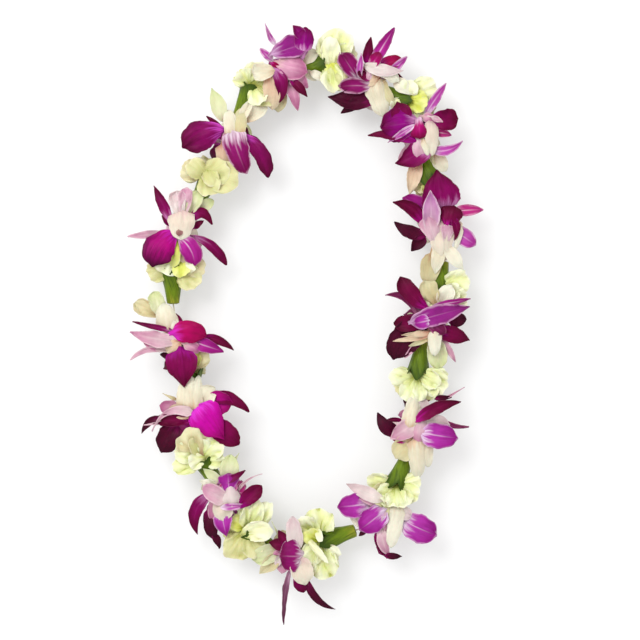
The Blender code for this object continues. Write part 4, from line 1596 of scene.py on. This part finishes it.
@dataclass(frozen=True)
class Skirt:
    """The lower half of a carnation's petals, measured from its calyx's mouth."""

    count: int = 9
    width: float = 19.0
    tones: tuple[Tone, ...] = (LIME_IN_SHADE, LIME, YELLOW)
    most_reach: float = 19.0
    bloom_share: float = 0.8
    claw: float = 3.0
    claw_ahead: float = 1.0
    ahead: Plan = (7.0, 12.0)
    lowest: float = 2.5
    ruffle: float = 1.6
    cup: float = 0.1
    arch: float = 0.05

    def petals(self, k: int, mouth: Matrix, bloom: float) -> Iterator[Blade]:
        """Spreads them in half a circle.

        Args:
            k: The cluster's number from 0.
            mouth: The calyx's mouth.
            bloom: How far the petals on top reach.

        Yields:
            Petals that open forwards, sideways and down.
        """
        level = mouth.to_3x3() @ UP
        aside = Vector((-level.y, level.x, 0)).normalized()
        reach = min(bloom * self.bloom_share, self.most_reach)
        bends = {"ruffle": self.ruffle, "cup": self.cup, "arch": self.arch}
        for number in range(self.count):
            angle = math.pi * (number + 0.5) / self.count
            out = -aside * math.cos(angle) - UP * math.sin(angle)
            base = out * self.claw + level * self.claw_ahead
            tip = out * reach + level * self.ahead[number % 2]
            tip.z = max(tip.z, self.lowest - mouth.translation.z)
            tone = self.tones[(number + k) % len(self.tones)]
            yield Blade(Form.FRILL, tone, tuple(base), tuple(tip), self.width, **bends)


# ---------------------------------------------------------------- the garland

# How far from its cluster's place each orchid is threaded.
PURPLE_BEHIND, CREAM_AHEAD = 8.0, 3.0
# A calyx is this long, or ends this far ahead of its cluster's place.
CALYX_LENGTH, CALYX_CLEAR = 29.0, 9.0
# An orchid's throat points the way that this much string on either side of it does.
THROAT_HALF = 3.0
# A carnation's claws meet this deep in its calyx, and its petals start this much lower than listed.
HEAD_DEPTH, CLAW_DROP = 6.0, 0.55
# The petals that lie below are numbered from here.
FIRST_HIDDEN = 20
THREAD_LIGHT, THREAD_DARK = (236, 230, 208), (176, 160, 120)


def lowered(blade: Blade) -> Blade:
    """Sinks a carnation petal's claw into the calyx."""
    x, y, height = blade.base
    return replace(blade, base=(x, y, height * CLAW_DROP))


class Garland:
    """All thirteen clusters on the string."""

    def __init__(self) -> None:
        """Lays the string's route and makes the flowers' skins."""
        self.route = Route([place for cluster in CLUSTERS for place in (cluster.place, cluster.carnation)])
        self.skins = {kind: kind.value.skin.material() for kind in Kind}

    def orchid(self, k: int, kind: Kind, blades: tuple[Blade, ...], distance: float, throat: Tone) -> None:
        """Makes one orchid.

        Args:
            k: The cluster's number from 0.
            kind: Whether it is purple or cream.
            blades: The petals that lie on top.
            distance: How far ahead of the cluster's place it is threaded.
            throat: The colours of its throat.
        """
        spot = self.route.ahead(2 * k, distance)
        stand = self.route.attitude(self.route.ahead(spot, THROAT_HALF), 2 * THROAT_HALF)
        stand.translation = self.route.at(spot)
        hub = stand.translation.copy()
        flower = Flower(kind, k)
        Throat().grow(flower, stand, throat)
        flower.add(blades, self.route.at(2 * k), hub)
        below = Underside().petals(flower.seed(3), [blade.tone for blade in blades])
        flower.add(below, hub, hub, FIRST_HIDDEN)
        flower.finished(self.skins[kind])

    def carnation(self, k: int, cluster: Cluster) -> None:
        """Makes one carnation's calyx and its ruffled petals.

        Args:
            k: The cluster's number from 0.
            cluster: The cluster.
        """
        length = min(CALYX_LENGTH, cluster.mouth - CALYX_CLEAR)
        mouth = self.route.attitude(self.route.ahead(2 * k, cluster.mouth), length)
        calyx = Flower(Kind.CALYX, k)
        Calyx(length, cluster.tooth).grow(calyx, mouth)
        calyx.finished(self.skins[Kind.CALYX])
        head = Flower(Kind.HEAD, k)
        origin, hub = mouth.translation.copy(), mouth @ (UP * -HEAD_DEPTH)
        head.add(map(lowered, cluster.frills), origin, hub)
        head.add(Skirt().petals(k, mouth, cluster.bloom), origin, hub, FIRST_HIDDEN)
        head.finished(self.skins[Kind.HEAD])

    def build(self) -> None:
        """Makes every flower and dresses the string."""
        for k, cluster in enumerate(CLUSTERS):
            self.orchid(k, Kind.PURPLE, cluster.purple, -PURPLE_BEHIND, WINE)
            self.orchid(k, Kind.CREAM, cluster.cream, CREAM_AHEAD, PEACH)
            self.carnation(k, cluster)
        thread = ThreadSkin("cotton_thread", THREAD_LIGHT, THREAD_DARK).material()
        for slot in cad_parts["string"].material_slots:
            slot.material = thread


# ---------------------------------------------------------------- floor, light and camera


@dataclass(frozen=True)
class Studio:
    """A white floor under soft light, and a camera that looks straight down."""

    field: float = 0.560
    lens: float = 100.0
    sensor: float = 36.0
    middle: Plan = (0.013, 0.004)
    floor_half: float = 3.0
    floor_light: Colour = (188, 188, 188)
    key_power: float = 20.0
    key_size: float = 1.1
    key_place: Point = (-0.75, 0.80, 1.55)
    sky: float = 1.0

    def build_floor(self) -> None:
        """Lays the floor."""
        shape = bmesh.new()
        bmesh.ops.create_grid(shape, x_segments=1, y_segments=1, size=self.floor_half)
        mesh = bpy.data.meshes.new("pale_floor")
        shape.to_mesh(mesh)
        shape.free()
        mesh.materials.append(FloorSkin("pale_floor_skin", self.floor_light).material())
        shown("pale_floor", mesh)

    def build_light(self) -> None:
        """Hangs a large soft key light and an even sky."""
        lamp = bpy.data.lights.new("soft_key", "AREA")
        lamp.shape = "DISK"
        lamp.size = self.key_size
        lamp.energy = self.key_power
        key = shown("soft_key", lamp)
        key.location = self.key_place
        key.rotation_euler = (-Vector(self.key_place)).to_track_quat("-Z", "Y").to_euler()
        world = bpy.data.worlds.new("soft_sky")
        world.use_nodes = True
        background = world.node_tree.nodes["Background"]
        background.inputs["Color"].default_value = FULL_LIGHT
        background.inputs["Strength"].default_value = self.sky
        bpy.context.scene.world = world
        bpy.context.scene.view_settings.view_transform = "Standard"

    def build_camera(self) -> None:
        """Stands the camera above the string's middle."""
        camera = bpy.data.cameras.new("camera")
        camera.lens = self.lens
        camera.sensor_width = self.sensor
        above = self.field * self.lens / self.sensor + (STRING_HEIGHT + SETTLED.z) * MM
        body = shown("camera", camera)
        body.location = (*self.middle, above)
        bpy.context.scene.camera = body

    def build(self) -> None:
        """Makes the floor, the lights and the camera."""
        self.build_floor()
        self.build_light()
        self.build_camera()


def main() -> None:
    """Builds the studio and the lei."""
    logging.basicConfig(level=logging.INFO, format="%(name)s %(message)s")
    Studio().build()
    Garland().build()


if __name__ == "__main__":
    main()
